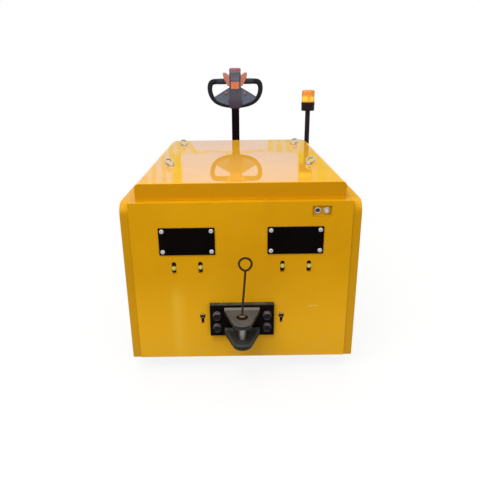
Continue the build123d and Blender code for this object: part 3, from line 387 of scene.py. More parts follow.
class Signal:
    """A shader socket that takes part in Python expressions."""

    def __init__(self, graph: "Graph", socket: bpy.types.NodeSocket) -> None:
        """Wrap a socket of a graph's node."""
        self.graph = graph
        self.socket = socket

    def _math(self, operation: str, first: Value, second: Value = 0.0) -> "Signal":
        """Add one Math node."""
        return self.graph.node("ShaderNodeMath", {"operation": operation}, {0: first, 1: second})

    def __add__(self, other: Value) -> "Signal":
        """Sum with another value."""
        return self._math("ADD", self, other)

    def __sub__(self, other: Value) -> "Signal":
        """Difference from another value."""
        return self._math("SUBTRACT", self, other)

    def __rsub__(self, other: Value) -> "Signal":
        """Difference of a number and this."""
        return self._math("SUBTRACT", other, self)

    def __mul__(self, other: Value) -> "Signal":
        """Product with another value."""
        return self._math("MULTIPLY", self, other)

    def __truediv__(self, other: Value) -> "Signal":
        """Quotient with another value."""
        return self._math("DIVIDE", self, other)

    __radd__ = __add__
    __rmul__ = __mul__

    def most(self, other: Value) -> "Signal":
        """Larger of this and another value."""
        return self._math("MAXIMUM", self, other)

    def size(self) -> "Signal":
        """Value without its sign."""
        return self._math("ABSOLUTE", self)

    def off(self, place: float) -> "Signal":
        """Distance from a place on this axis."""
        return (self - place).size()

    def ramp(self, low: float, high: float) -> "Signal":
        """Zero at low and one at high, held beyond them, also where high is the smaller one."""
        return self.graph.node("ShaderNodeMapRange", {"interpolation_type": "SMOOTHSTEP", "clamp": True},
                               {0: self, 1: low, 2: high})


class Graph:
    """A node tree that is written step by step."""

    def __init__(self, tree: bpy.types.NodeTree, output: str) -> None:
        """Empty a tree and give it its output node."""
        self.tree = tree
        self.tree.nodes.clear()
        self.output = self.tree.nodes.new(output)

    def show(self, shader: Signal) -> None:
        """Send a shader to the output."""
        self.tree.links.new(shader.socket, self.output.inputs["Surface"])

    def feed(self, socket: bpy.types.NodeSocket, value: Value) -> None:
        """Link a signal to a socket or set its constant."""
        if isinstance(value, Signal):
            self.tree.links.new(value.socket, socket)
        elif isinstance(value, (int, float)) or not hasattr(socket.default_value, "__len__"):
            socket.default_value = value
        else:
            socket.default_value = tuple(value)[:len(socket.default_value)]

    def node(self, kind: str, settings: dict | None = None, inputs: dict | None = None,
             output: int | str = 0) -> Signal:
        """Add any node.

        Args:
            kind: The node's type.
            settings: Its own settings, set before its sockets.
            inputs: Values or signals for its sockets, by index or name.
            output: Index or name of the wanted output.

        Returns:
            The wanted output as a signal.
        """
        made = self.tree.nodes.new(kind)
        for key, value in (settings or {}).items():
            setattr(made, key, value)
        for key, value in (inputs or {}).items():
            self.feed(made.inputs[key], value)
        return Signal(self, made.outputs[output])

    def mix(self, amount: Value, first: Value, second: Value) -> Signal:
        """Colour between two colours."""
        return self.node("ShaderNodeMix", {"data_type": "RGBA"}, {0: amount, 6: first, 7: second}, output=2)

    def layers(self, colour: Value, *coats: tuple[Value, Value]) -> Value:
        """Colour under coats that are laid on in order, each an amount and a colour."""
        for amount, coat in coats:
            colour = self.mix(amount, colour, coat)
        return colour

    def blend(self, amount: Value, first: Signal, second: Signal) -> Signal:
        """Shader between two shaders."""
        return self.node("ShaderNodeMixShader", {}, {0: amount, 1: first, 2: second})

    def part(self, vector: Signal, index: int) -> Signal:
        """X, Y or Z of a vector: 0, 1 or 2."""
        return self.node("ShaderNodeSeparateXYZ", {}, {0: vector}, output=index)

    def ray(self, *kinds: str) -> Signal:
        """One for a light ray of any of these kinds and zero for all others."""
        return reduce(Signal.most, [self.node("ShaderNodeLightPath", output=f"Is {kind} Ray")
                                    for kind in kinds])


class Recipe(Graph):
    """Node tree of one material."""

    def __init__(self, name: str) -> None:
        """Start a material with its main shader."""
        self.material = bpy.data.materials.new(name)
        self.material.use_nodes = True
        super().__init__(self.material.node_tree, "ShaderNodeOutputMaterial")
        self.shader = self.tree.nodes.new("ShaderNodeBsdfPrincipled")
        self.main = Signal(self, self.shader.outputs[0])
        self.show(self.main)

    def place(self, stretch: Point = EVEN, centre: Point = ORIGIN) -> Signal:
        """Object coordinates about a centre, stretched by factors."""
        where = self.node("ShaderNodeTexCoord", output="Object")
        if stretch == EVEN and centre == ORIGIN:
            return where
        shift = tuple(-c * s for c, s in zip(centre, stretch))
        return self.node("ShaderNodeMapping", {}, {"Vector": where, "Location": shift, "Scale": stretch})

    def axis(self, index: int) -> Signal:
        """One object coordinate in metres: 0 for X, 1 for Y and 2 for Z."""
        return self.part(self.place(), index)

    def upward(self, low: float = 0.35, high: float = 0.85) -> Signal:
        """One where the surface faces up and zero where it stands upright."""
        return self.part(self.node("ShaderNodeTexCoord", output="Normal"), 2).ramp(low, high)

    def turned_away(self, blend: float, low: float, high: float) -> Signal:
        """One where the surface turns away from the eye and zero where it faces it."""
        return self.node("ShaderNodeLayerWeight", {}, {"Blend": blend}, "Facing").ramp(low, high)

    def noise(self, scale: float, detail: float, rough: float = 0.55, stretch: Point = EVEN) -> Signal:
        """Soft noise about one half; scale counts its blobs to a metre."""
        return self.node("ShaderNodeTexNoise", {}, {
            "Vector": self.place(stretch), "Scale": scale, "Detail": detail, "Roughness": rough})

    def cells(self, scale: float) -> Signal:
        """Distance from the middles of a cell pattern."""
        return self.node("ShaderNodeTexVoronoi", {}, {"Vector": self.place(), "Scale": scale})

    def waves(self, vector: Signal, scale: float, distortion: float = 0.0, **settings: str) -> Signal:
        """Bands or rings across a vector."""
        return self.node("ShaderNodeTexWave", settings, {
            "Vector": vector, "Scale": scale, "Distortion": distortion})

    def scratches(self, scale: float, stretch: Point) -> Signal:
        """Fine lines: the thin contour of a stretched noise."""
        return self.noise(scale, 3.0, 0.6, stretch).off(0.5).ramp(0.006, 0.0)

    def rounded(self, radius: float) -> Signal:
        """Normal that rounds sharp edges by a radius."""
        return self.node("ShaderNodeBevel", {"samples": 4}, {"Radius": radius})

    def edge(self, radius: float) -> Signal:
        """One on edges and zero on flats, found from a rounded normal."""
        true = self.node("ShaderNodeNewGeometry", output="True Normal")
        match = self.node("ShaderNodeVectorMath", {"operation": "DOT_PRODUCT"},
                          {0: self.rounded(radius), 1: true}, "Value")
        return match.ramp(0.985, 0.86)

    def bump(self, height: Signal, depth: float, strength: float, normal: Signal | None = None) -> Signal:
        """Normal of a surface raised by a height of this many metres."""
        inputs: dict = {"Height": height, "Distance": depth, "Strength": strength}
        if normal is not None:
            inputs["Normal"] = normal
        return self.node("ShaderNodeBump", {}, inputs)

    def surface(self, **sockets: Value) -> Material:
        """Feed the main shader; an underscore in a name stands for a space.

        Args:
            sockets: Values or signals by the names of the shader's sockets.

        Returns:
            The finished material.
        """
        for name, value in sockets.items():
            self.feed(self.shader.inputs[name.replace("_", " ")], value)
        return self.material


@dataclass(frozen=True)
class YellowPaint:
    """Machine paint: glossy where it faces up, with faint streaks, dust low down, worn edges and painted
    light and shade.
    """

    name: str
    colour: Colour = shade(208, 150, 5)
    deep: Colour = shade(196, 137, 2)
    chip: Colour = shade(112, 84, 40)
    dust: Colour = shade(206, 176, 104)
    painted_floor_light: Colour = shade(232, 172, 30)
    shaded: Colour = shade(188, 130, 2)
    bare: Colour = shade(238, 214, 150)
    painted_sheen: Colour = shade(234, 190, 66)
    hollow: Colour = shade(58, 38, 10)
    rim: Colour = shade(178, 126, 8)
    # Tones of top faces on the deck and the hood lid, the lid's much lighter: painted top light.
    deck: tuple[Colour, Colour] = (shade(210, 151, 12), shade(202, 143, 6))
    lid: tuple[Colour, Colour] = (shade(234, 168, 2), shade(227, 161, 1))
    gloss: float = 0.93
    satin: float = 0.36
    shoulder_z: float = 0.868
    lid_z: float = 0.920
    scrape_x: float = 0.338
    scrape_z: float = 0.3535
    sheen_x: float = -0.300
    keyhole_z: float = 0.2885
    rim_x: float = 0.4985

    def face_marks(self, mix: Recipe, height: Signal, streak: Signal) -> list[tuple[Signal, Colour]]:
        """Marks on the hitch end: a bare scrape, a painted sheen, painted shade in the keyholes and a shaded
        rim.

        Args:
            mix: The material's recipe.
            height: Height above the floor.
            streak: Faint upright streaks.

        Returns:
            An amount and a colour for each mark.
        """
        across, deep = mix.axis(0), mix.axis(1)
        front = deep.ramp(FACE_Y + 0.004, FACE_Y + 0.001)
        upright = (height - self.scrape_z - (across - self.scrape_x) * 0.06).size().ramp(0.0032, 0.0008)
        grit = mix.noise(220.0, 3.0).ramp(0.30, 0.5)
        bare = across.off(self.scrape_x).ramp(0.026, 0.010) * upright * front * grit
        # A pale upright streak low on the face's left: painted sheen.
        painted_sheen = across.off(self.sheen_x).ramp(0.050, 0.004) * height.ramp(0.50, 0.38) * front
        # The keyholes' inner walls painted dark: painted shade in the recesses.
        inside = deep.ramp(FACE_Y + 0.001, FACE_Y + 0.004) * deep.ramp(FACE_Y + 0.040, FACE_Y + 0.030)
        keyhole_shade = (across.size().off(KEYHOLE_X).ramp(0.0180, 0.0145) * inside
                    * height.off(self.keyhole_z).ramp(0.034, 0.0315))
        # The side panels' front strips painted darker: painted shade.
        rim = across.size().ramp(self.rim_x, self.rim_x + 0.003) * deep.ramp(FACE_Y + 0.012, FACE_Y + 0.006)
        return [(bare * 0.5, self.bare), (painted_sheen * (streak * 0.25 + 0.22), self.painted_sheen),
                (keyhole_shade * 0.85, self.hollow), (rim * 0.55, self.rim)]

    def material(self) -> Material:
        """Build the material."""
        mix = Recipe(self.name)
        height, up = mix.axis(2), mix.upward()
        cloud = mix.noise(2.6, 3.0).ramp(0.35, 0.68)
        streak = mix.noise(9.0, 4.0, 0.6, (1.0, 1.0, 0.12)).ramp(0.42, 0.75)
        grime = height.ramp(0.26, 0.08) * mix.noise(24.0, 5.0, 0.7).ramp(0.35, 0.8)
        wear = mix.edge(0.003) * mix.noise(60.0, 5.0, 0.7).ramp(0.56, 0.66)
        marks = mix.scratches(7.0, (1.0, 1.0, 0.35)) * mix.noise(2.3, 2.0).ramp(0.60, 0.72)
        lid = height.ramp(self.lid_z, self.lid_z + 0.02)
        # Top faces' tones, the hood lid's much lighter than the front: painted top light.
        bright = mix.mix(lid, mix.mix(cloud, *self.deck), mix.mix(cloud, *self.lid))
        colour = mix.layers(
            self.colour, (cloud * 0.45 + streak * 0.18, self.deep),
            # Lighter towards the bottom: painted floor light.
            (height.ramp(0.60, 0.20) * 0.75, self.painted_floor_light),
            # Upright faces above the shoulder, such as the hood's front, darker: painted shade.
            (height.ramp(self.shoulder_z, self.shoulder_z + 0.017) * 0.9, self.shaded),
            (grime * 0.20, self.dust), (wear * 0.6, self.chip), (marks * 0.18, self.dust),
            # Then the face marks, and painted top light on every top face.
            *self.face_marks(mix, height, streak), (up * 0.8, bright))
        peel = mix.bump(mix.noise(260.0, 2.0, 0.5), 0.00016, 0.5, mix.rounded(0.0014))
        return mix.surface(Base_Color=colour, Roughness=0.42 + cloud * 0.07 + grime * 0.25 + wear * 0.15,
                           Normal=mix.bump(mix.noise(5.0, 1.0, 0.3), 0.0010, 0.14, peel),
                           Coat_Weight=up * (lid * (self.gloss - self.satin) + self.satin) + 0.02,
                           Coat_Roughness=0.025, Specular_IOR_Level=0.06)


@dataclass(frozen=True)
class BlackPaint:
    """Satin black paint on steel plate: painted lighter on top as top light with a dust tint, and rubbed at
    its edges.
    """

    name: str
    colour: Colour = shade(14, 10, 9)
    dust: Colour = shade(62, 54, 46)
    top: Colour = shade(88, 84, 74)
    rubbed_and_highlight: Colour = shade(92, 88, 82)
    roughness: float = 0.46
    dusty: float = 0.06
    shine: float = 0.16

    def material(self) -> Material:
        """Build the material."""
        mix = Recipe(self.name)
        cloud = mix.noise(14.0, 5.0, 0.6).ramp(0.38, 0.75)
        wear = mix.edge(0.0022) * mix.noise(90.0, 5.0, 0.7).ramp(0.50, 0.64)
        colour = mix.layers(self.colour, (cloud * self.dusty, self.dust),
                            # Top faces painted lighter: painted top light with a dust tint.
                            (mix.upward(0.5, 0.9) * 0.85, mix.mix(cloud, self.top, self.dust)),
                            (wear * 0.45, self.rubbed_and_highlight))
        normal = mix.bump(mix.noise(480.0, 3.0, 0.6), 0.0002, 0.5, mix.rounded(0.0010))
        return mix.surface(Base_Color=colour, Roughness=self.roughness + cloud * 0.12 - wear * 0.08,
                           Normal=normal, Specular_IOR_Level=self.shine)


@dataclass(frozen=True)
class CastIron:
    """Casting with a sandy skin, painted pale on top and dark in its upright faces as top light and side
    shade.
    """

    name: str
    colour: Colour = shade(82, 83, 82)
    side: Colour = shade(28, 26, 22)
    rust: Colour = shade(84, 64, 48)
    handled_and_highlight: Colour = shade(150, 149, 144)
    under_shadow: Colour = shade(22, 18, 12)
    bright: Colour = shade(150, 146, 138)
    grain: float = 1.0
    shine: float = 0.25
    root: float | None = None
    shadow_below: float = -1.0

    def material(self) -> Material:
        """Build the material."""
        mix = Recipe(self.name)
        cloud = mix.noise(22.0, 6.0, 0.65).ramp(0.34, 0.70)
        stain = mix.noise(34.0, 5.0, 0.7).ramp(0.56, 0.74)
        worn = mix.edge(0.0035) * mix.noise(70.0, 3.0).ramp(0.30, 0.55)
        # Light colour on top faces and dark on upright ones: painted top light and side shade; the cloud adds
        # random dark tone.
        colour = mix.layers(self.side, (mix.upward(0.2, 0.8), self.colour), (cloud * 0.30, self.side),
                            (stain * 0.12, self.rust))
        # A pale band on top faces near the jaw's root: painted highlight.
        if self.root is not None:
            rubbed_and_highlight = mix.axis(1).ramp(self.root - 0.016, self.root) * mix.upward(0.5, 0.9)
            colour = mix.mix(rubbed_and_highlight * 0.55, colour, self.handled_and_highlight)
        # Dark below a height, the jaw's lower tongue: painted shadow of the upper tongue.
        colour = mix.layers(colour, (mix.axis(2).ramp(self.shadow_below, self.shadow_below - 0.004) * 0.62, self.under_shadow),
                            (worn * 0.55, self.bright))
        sand = mix.noise(420.0, 4.0, 0.65) * 0.6 + mix.cells(240.0).ramp(0.0, 0.5) * 0.4
        return mix.surface(Base_Color=colour, Roughness=0.52 + cloud * 0.14 - worn * 0.18,
                           Normal=mix.bump(sand, 0.0006 * self.grain, 0.55, mix.rounded(0.0022)),
                           Metallic=worn * 0.4 + self.shine * 0.4, Specular_IOR_Level=self.shine)


@dataclass(frozen=True)
class PlatedSteel:
    """Plated or plain steel of bolts and rings, with a faint tint, handling marks and tops painted lighter as
    top light.
    """

    name: str
    colour: Colour
    tint: Colour
    top: Colour = shade(240, 240, 242)
    grime: Colour = shade(70, 62, 54)
    roughness: float = 0.34
    metal: float = 0.45
    shine: float = 0.5

    def material(self) -> Material:
        """Build the material."""
        mix = Recipe(self.name)
        cloud = mix.noise(60.0, 4.0, 0.6).ramp(0.34, 0.7)
        soot = mix.noise(120.0, 5.0, 0.7).ramp(0.57, 0.74)
        # Top faces painted lighter: painted top light.
        colour = mix.layers(self.colour, (cloud * 0.6, self.tint), (mix.upward(0.1, 0.7) * 0.8, self.top),
                            (soot * 0.35, self.grime))
        normal = mix.bump(mix.noise(900.0, 3.0, 0.6), 0.0001, 0.4, mix.rounded(0.0006))
        return mix.surface(Base_Color=colour, Roughness=self.roughness + cloud * 0.12 + soot * 0.2,
                           Normal=normal, Metallic=self.metal - soot * 0.2, Specular_IOR_Level=self.shine)


@dataclass(frozen=True)
class PinSteel:
    """Tow pin: bright worn steel below with a painted upright highlight; rod and ring browned and dark, the
    head's sides dark as painted shade.
    """

    name: str
    bright: Colour = shade(206, 200, 198)
    side: Colour = shade(78, 74, 66)
    smear: Colour = shade(104, 100, 92)
    dark: Colour = shade(36, 23, 10)
    brown: Colour = shade(66, 44, 20)
    change_z: float = 0.340
    crown_z: float = 0.395

    def material(self) -> Material:
        """Build the material."""
        mix = Recipe(self.name)
        height = mix.axis(2)
        # The dome's top keeps the bright colour: painted top light.
        cap = mix.upward(0.55, 0.9) * height.ramp(self.crown_z, self.crown_z - 0.015)
        high = height.ramp(self.change_z - 0.003, self.change_z + 0.003) * (1.0 - cap)
        cloud = mix.noise(46.0, 5.0, 0.6).ramp(0.35, 0.7)
        # Light in the middle and darker where the pin turns away: a painted upright highlight.
        bright = mix.layers(self.bright, (mix.turned_away(0.5, -0.08, 0.42), self.side),
                            (cloud * 0.3, self.smear))
        # Dark brown above the jaw; on the head's sides it is painted shade.
        shaded_brown = mix.mix(cloud * 0.6, self.dark, self.brown)
        lines = mix.noise(700.0, 2.0, 0.5, (1.0, 1.0, 0.06))
        return mix.surface(Base_Color=mix.mix(high, bright, shaded_brown),
                           Roughness=0.32 + cloud * 0.14 + high * 0.14,
                           Normal=mix.bump(lines, 0.0001, 0.5), Metallic=0.55 - high * 0.55,
                           Specular_IOR_Level=0.2)


@dataclass(frozen=True)
class TurnedSteel:
    """Machined steel with rings about an upright axis and a film of grease."""

    name: str
    centre: Point
    colour: Colour = shade(170, 170, 168)
    grease: Colour = shade(60, 50, 36)

    def material(self) -> Material:
        """Build the material."""
        mix = Recipe(self.name)
        rings = mix.waves(mix.place(EVEN, self.centre), 140.0, 0.4, wave_type="RINGS", rings_direction="Z")
        film = mix.noise(30.0, 5.0, 0.65).ramp(0.42, 0.68)
        return mix.surface(Base_Color=mix.mix(film * 0.65, self.colour, self.grease),
                           Roughness=0.28 + film * 0.22, Normal=mix.bump(rings, 0.0002, 0.4),
                           Metallic=0.8 - film * 0.3)


@dataclass(frozen=True)
class Rubber:
    """Solid tyre: matt, scuffed and dusty."""

    name: str
    colour: Colour = shade(34, 33, 33)
    worn: Colour = shade(74, 71, 68)
    dust: Colour = shade(128, 116, 100)

    def material(self) -> Material:
        """Build the material."""
        mix = Recipe(self.name)
        cloud = mix.noise(26.0, 5.0, 0.65).ramp(0.36, 0.72)
        powder = mix.noise(75.0, 6.0, 0.7).ramp(0.50, 0.72)
        grain = mix.noise(340.0, 4.0, 0.6) * 0.7 + mix.cells(160.0).ramp(0.0, 0.6) * 0.3
        return mix.surface(
            Base_Color=mix.layers(self.colour, (cloud * 0.6, self.worn), (powder * 0.30, self.dust)),
            Roughness=0.74 + cloud * 0.12, Normal=mix.bump(grain, 0.0006, 0.5), Specular_IOR_Level=0.3)


@dataclass(frozen=True)
class MouldedPlastic:
    """Moulded plastic with a fine texture and slightly polished, handled places."""

    name: str
    colour: Colour
    handled_and_highlight: Colour
    roughness: float = 0.42
    coat: float = 0.0
    shine: float = 0.25
    scuff: Colour = shade(190, 188, 184)

    def material(self) -> Material:
        """Build the material."""
        mix = Recipe(self.name)
        cloud = mix.noise(32.0, 4.0, 0.6).ramp(0.36, 0.7)
        edge = mix.edge(0.0018)
        scuffs = mix.scratches(60.0, (1.0, 1.0, 0.4)) * mix.noise(14.0, 2.0).ramp(0.55, 0.7)
        colour = mix.layers(self.colour, (cloud * 0.35, self.handled_and_highlight), (edge * 0.25, self.handled_and_highlight),
                            (scuffs * 0.10, self.scuff))
        normal = mix.bump(mix.cells(900.0).ramp(0.0, 0.7), 0.0002, 0.08, mix.rounded(0.0006))
        return mix.surface(Base_Color=colour, Roughness=self.roughness + cloud * 0.10 - edge * 0.08,
                           Normal=normal, Coat_Weight=self.coat, Coat_Roughness=0.06,
                           Specular_IOR_Level=self.shine)


@dataclass(frozen=True)
class AmberLens:
    """Amber lens: deep orange at the top and the rims, with the lamp's yellow in its lower half."""

    name: str
    centre_x: float
    low: float
    colour: Colour = shade(214, 132, 24)
    deep: Colour = shade(180, 82, 8)
    lamp: Colour = shade(250, 204, 40)

    def material(self) -> Material:
        """Build the material."""
        mix = Recipe(self.name)
        height = mix.axis(2)
        cloud = mix.noise(30.0, 2.0).ramp(0.35, 0.7)
        band = (height.ramp(self.low + 0.050, self.low + 0.034)
                * height.ramp(self.low + 0.004, self.low + 0.012))
        bulb = mix.axis(0).off(self.centre_x).ramp(0.003, 0.016)
        flute = mix.waves(mix.place(), 70.0, bands_direction="X")
        colour = mix.layers(self.colour, (cloud * 0.15, self.deep), (band * (bulb * 0.60 + 0.35), self.lamp),
                            (mix.turned_away(0.42, 0.30, 0.85) * 0.85, self.deep))
        return mix.surface(Base_Color=colour, Roughness=0.18 + cloud * 0.08,
                           Normal=mix.bump(flute, 0.0001, 0.1), Emission_Color=colour,
                           Emission_Strength=0.12, Coat_Weight=0.3, Coat_Roughness=0.08)


class Finish(Enum):
    """Every finish of the machine, with the recipe that makes it."""

    BODY = YellowPaint("yellow_paint")
    BLACK = BlackPaint("black_paint")
    TUBE = BlackPaint("tube_black", shade(13, 4, 8), dusty=0.02, shine=0.06)
    POST = BlackPaint("post_black", shade(30, 23, 28), dusty=0.04, shine=0.12)
    COVER = BlackPaint("cover_black", shade(6, 3, 3), roughness=0.34, dusty=0.02, shine=0.02)
    PLATE = BlackPaint("hitch_plate_black", shade(13, 8, 7), dusty=0.02, shine=0.03)
    UNDER = BlackPaint("underside_black", dusty=0.35, roughness=0.6)
    MOTOR = BlackPaint("motor_black", shade(28, 28, 30), roughness=0.5, dusty=0.2)
    CASE = BlackPaint("battery_case", shade(64, 66, 70), roughness=0.55, dusty=0.25)
    CASTING = CastIron("casting")
    JAW = CastIron("jaw_casting", root=FACE_Y - 0.044, shadow_below=0.292)
    WHEEL_IRON = CastIron("wheel_casting", shade(178, 138, 48), shade(132, 98, 34), grain=0.7)
    # Where a plated steel gets a third colour, that is its painted top light.
    ZINC = PlatedSteel("zinc_plate", shade(186, 186, 188), shade(150, 148, 146), shade(216, 216, 218))
    EYE = PlatedSteel("eye_steel", shade(150, 146, 138), shade(124, 118, 110), shade(190, 186, 176),
                      metal=0.2, shine=0.3)
    YELLOW_ZINC = PlatedSteel("yellow_zinc", shade(192, 190, 92), shade(156, 158, 66), shade(226, 226, 158))
    DARK_BOLT = PlatedSteel("blackened_bolt", shade(21, 17, 21), shade(14, 11, 15), shade(120, 112, 110),
                            metal=0.0, roughness=0.45, shine=0.1)
    # The stud's dark colour stands for painted shade on its front, its pale top for painted top light.
    STUD = PlatedSteel("grey_stud", shade(34, 27, 13), shade(25, 19, 9), shade(214, 206, 170), metal=0.0,
                       shine=0.12)
    RING = PlatedSteel("switch_ring", shade(176, 170, 160), shade(140, 134, 128), roughness=0.26, metal=0.2)
    PIN = PinSteel("pin_steel")
    TURNED = TurnedSteel("turned_steel", tuple(middle("slewing_ring")))
    TYRE = Rubber("tyre_rubber")
    DRIVE_TYRE = Rubber("drive_tyre_rubber", shade(58, 44, 34), shade(92, 76, 60))
    HEAD = MouldedPlastic("head_grey", shade(72, 73, 86), shade(90, 91, 104), 0.5)
    HUB = MouldedPlastic("hub_grey", shade(65, 56, 77), shade(80, 71, 92))
    WING = MouldedPlastic("wing_grey", shade(89, 97, 117), shade(108, 116, 138), 0.44)
    GRIP = MouldedPlastic("grip_black", shade(20, 24, 42), shade(42, 48, 68), 0.26, coat=0.22, shine=0.3)
    LOOP = MouldedPlastic("loop_black", shade(12, 13, 24), shade(30, 32, 46), 0.28, shine=0.20)
    BUTTON = MouldedPlastic("wing_button", shade(146, 104, 92), shade(184, 150, 140))
    ORANGE = MouldedPlastic("orange_plastic", shade(204, 116, 78), shade(214, 142, 112))
    LEVER = MouldedPlastic("lever_plastic", shade(178, 112, 94), shade(186, 144, 132))
    RED = MouldedPlastic("red_cap", shade(138, 86, 100), shade(164, 118, 132), 0.36)
    SCREEN = MouldedPlastic("display_glass", shade(84, 86, 104), shade(104, 107, 124), 0.16, coat=0.15)
    LENS = AmberLens("amber_lens", middle("beacon_lens").x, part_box("beacon_lens")[0].z)
    BASE = MouldedPlastic("beacon_base", shade(27, 13, 19), shade(42, 30, 36), 0.4, shine=0.12)
    KEY = MouldedPlastic("key_violet", shade(52, 40, 60), shade(76, 64, 82), 0.35)
    WHITE_CAP = MouldedPlastic("white_cap", shade(206, 202, 176), shade(176, 172, 158), 0.3)
    VENT = MouldedPlastic("vent_cap", shade(222, 190, 40), shade(236, 212, 90))

    @cache
    def material(self) -> Material:
        """Build the finish the first time it is used."""
        return self.value.material()

    def dress(self, *pieces: Piece | str) -> None:
        """Give pieces, or CAD nodes by name, this finish alone."""
        for piece in pieces:
            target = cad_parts[piece] if isinstance(piece, str) else piece
            target.data.materials.clear()
            target.data.materials.append(self.material())


@dataclass(frozen=True)
class Bolt:
    """Hexagon bolt head on its washer: width across the flats, and the washer's radius and thickness."""

    flats: float
    head: float
    washer: float
    washer_t: float

    def model(self, name: str) -> Piece:
        """Model the bolt upright on the origin."""
        hexagon = Bench.hexagon(name + "_head", self.flats, self.head)
        Bench.crown(hexagon, facing(0, 0, 1), self.flats * 0.09, (0, 0, self.head * 0.09))
        Bench.sink(hexagon, facing(0, 0, 1), self.flats * 0.10, (0, 0, -self.head * 0.06))
        Bench.round_edges(hexagon, self.flats * 0.022, 2)
        Bench.place(hexagon, (0, 0, self.washer_t))
        ring = Bench.turned(name + "_washer", [
            (0.45, 0), (0.96, 0), (1, 0.3), (1, 0.75), (0.96, 1), (0.45, 1)], 32, True,
            (self.washer, self.washer_t))
        return Bench.join(name, [hexagon, ring])


@dataclass(frozen=True)
class Screw:
    """Button-head screw with its socket: radius and height of the dome."""

    radius: float
    dome: float

    def model(self, name: str) -> Piece:
        """Model the screw upright on the origin."""
        return Bench.turned(name, [(1, 0), (1, 0.25), (0.93, 0.55), (0.78, 0.82), (0.56, 1), (0.36, 1),
                                   (0.34, 0.45)], 24, scale=(self.radius, self.dome))


@dataclass(frozen=True)
class Tread:
    """Section of a solid tyre: rim radius, shoulder, half width of its foot and grooves."""

    rim: float
    shoulder: float
    foot: float | None = None
    grooves: tuple[float, ...] = (-0.58, 0.0, 0.58)
    groove: float = 0.0035
    deep: float = 0.004

    def profile(self, radius: float, half: float) -> list[tuple[float, float]]:
        """Section of the whole tyre.

        Args:
            radius: Outer radius of the tyre.
            half: Half of its width.

        Returns:
            Radius and height of each step, from the foot on one side to the foot on the other.
        """
        rim, foot, shoulder = self.rim, self.foot or half, self.shoulder
        side = [(rim, -foot), (rim + 0.010, -foot - (half - foot) * 0.2), (rim + 0.012, -half * 0.93),
                (rim + 0.015, -half * 0.96), (radius - shoulder * 1.3, -half * 0.995),
                (radius - shoulder, -half), (radius - 0.3 * shoulder, -half + 0.3 * shoulder),
                (radius - 0.06 * shoulder, -half + 0.75 * shoulder), (radius, -half + 1.1 * shoulder)]
        grooves = []
        for place in self.grooves:
            across = place * (half - 1.2 * shoulder)
            grooves += [(radius, across - self.groove), (radius - self.deep, across - self.groove / 2),
                        (radius - self.deep, across + self.groove / 2), (radius, across + self.groove)]
        return side + grooves + [(r, -z) for r, z in reversed(side)]


@dataclass
class Assembly:
    """Common ground of the sub-assemblies, with the list of what was made."""

    made: list[Piece] = field(default_factory=list)

    def build(self) -> None:
        """Model and dress everything of this sub-assembly."""
        raise NotImplementedError

    def keep(self, piece: Piece, finish: Finish, body: str, slot: str, *replaced: str) -> None:
        """Finish a piece, hang it on its body and remember it.

        Args:
            piece: The modelled piece.
            finish: Its finish.
            body: CAD body that it rides on.
            slot: Material slot of the record; not used.
            replaced: CAD nodes that it stands for.
        """
        finish.dress(piece)
        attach(piece, body)
        if replaced:
            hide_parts(*replaced)
        self.made.append(piece)

    def fasten(self, name: str, model: Piece, spots: Iterable[Sequence[float]], body: str,
               along: Along = Along.UP, turns: Sequence[float] = (0.0,), finish: Finish = Finish.ZINC,
               replaced: Sequence[str] = ()) -> None:
        """Copy a steel fastener to its spots and keep the copies as one piece.

        Args:
            name: Name of the joined piece.
            model: The fastener, modelled upright at the origin.
            spots: Where the copies go.
            body: CAD body that they ride on.
            along: Direction that their own up takes.
            turns: Turns about their own axes in degrees, used one after another.
            finish: Their finish.
            replaced: CAD nodes that they stand for.
        """
        self.keep(Bench.rows(name, model, spots, along, turns), finish, body, "bolt_steel", *replaced)

    def level_ring(self, count: int, radius: float, centre: Sequence[float], start: float) -> list[Point]:
        """Points on a level circle about a centre, the first at a start angle in degrees."""
        steps = [math.radians(start + 360 * index / count) for index in range(count)]
        return [(centre[0] + radius * math.cos(step), centre[1] + radius * math.sin(step), centre[2])
                for step in steps]

    def upright_ring(self, count: int, radius: float, x: float, hub: Sequence[float]) -> list[Point]:
        """Points on an upright circle round an axle at this X."""
        steps = [2 * math.pi * (index + 0.5) / count for index in range(count)]
        return [(x, hub[1] + radius * math.cos(step), hub[2] + radius * math.sin(step)) for step in steps]

    def tyre(self, node: str, tread: Tread, body: str, slot: str, finish: Finish) -> None:
        """Stand a moulded tyre with fine grooves in place of a CAD tyre.

        Args:
            node: The CAD tyre.
            tread: Its section.
            body: Body that the wheel belongs to.
            slot: Material slot of the record.
            finish: Finish of the rubber.
        """
        low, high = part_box(node)
        profile = tread.profile((high.z - low.z) / 2, (high.x - low.x) / 2)
        tyre = Bench.turned(node + "_rubber", profile, 96, hollow=True)
        self.keep(Bench.place(tyre, middle(node), Along.RIGHT), finish, body, slot, node)


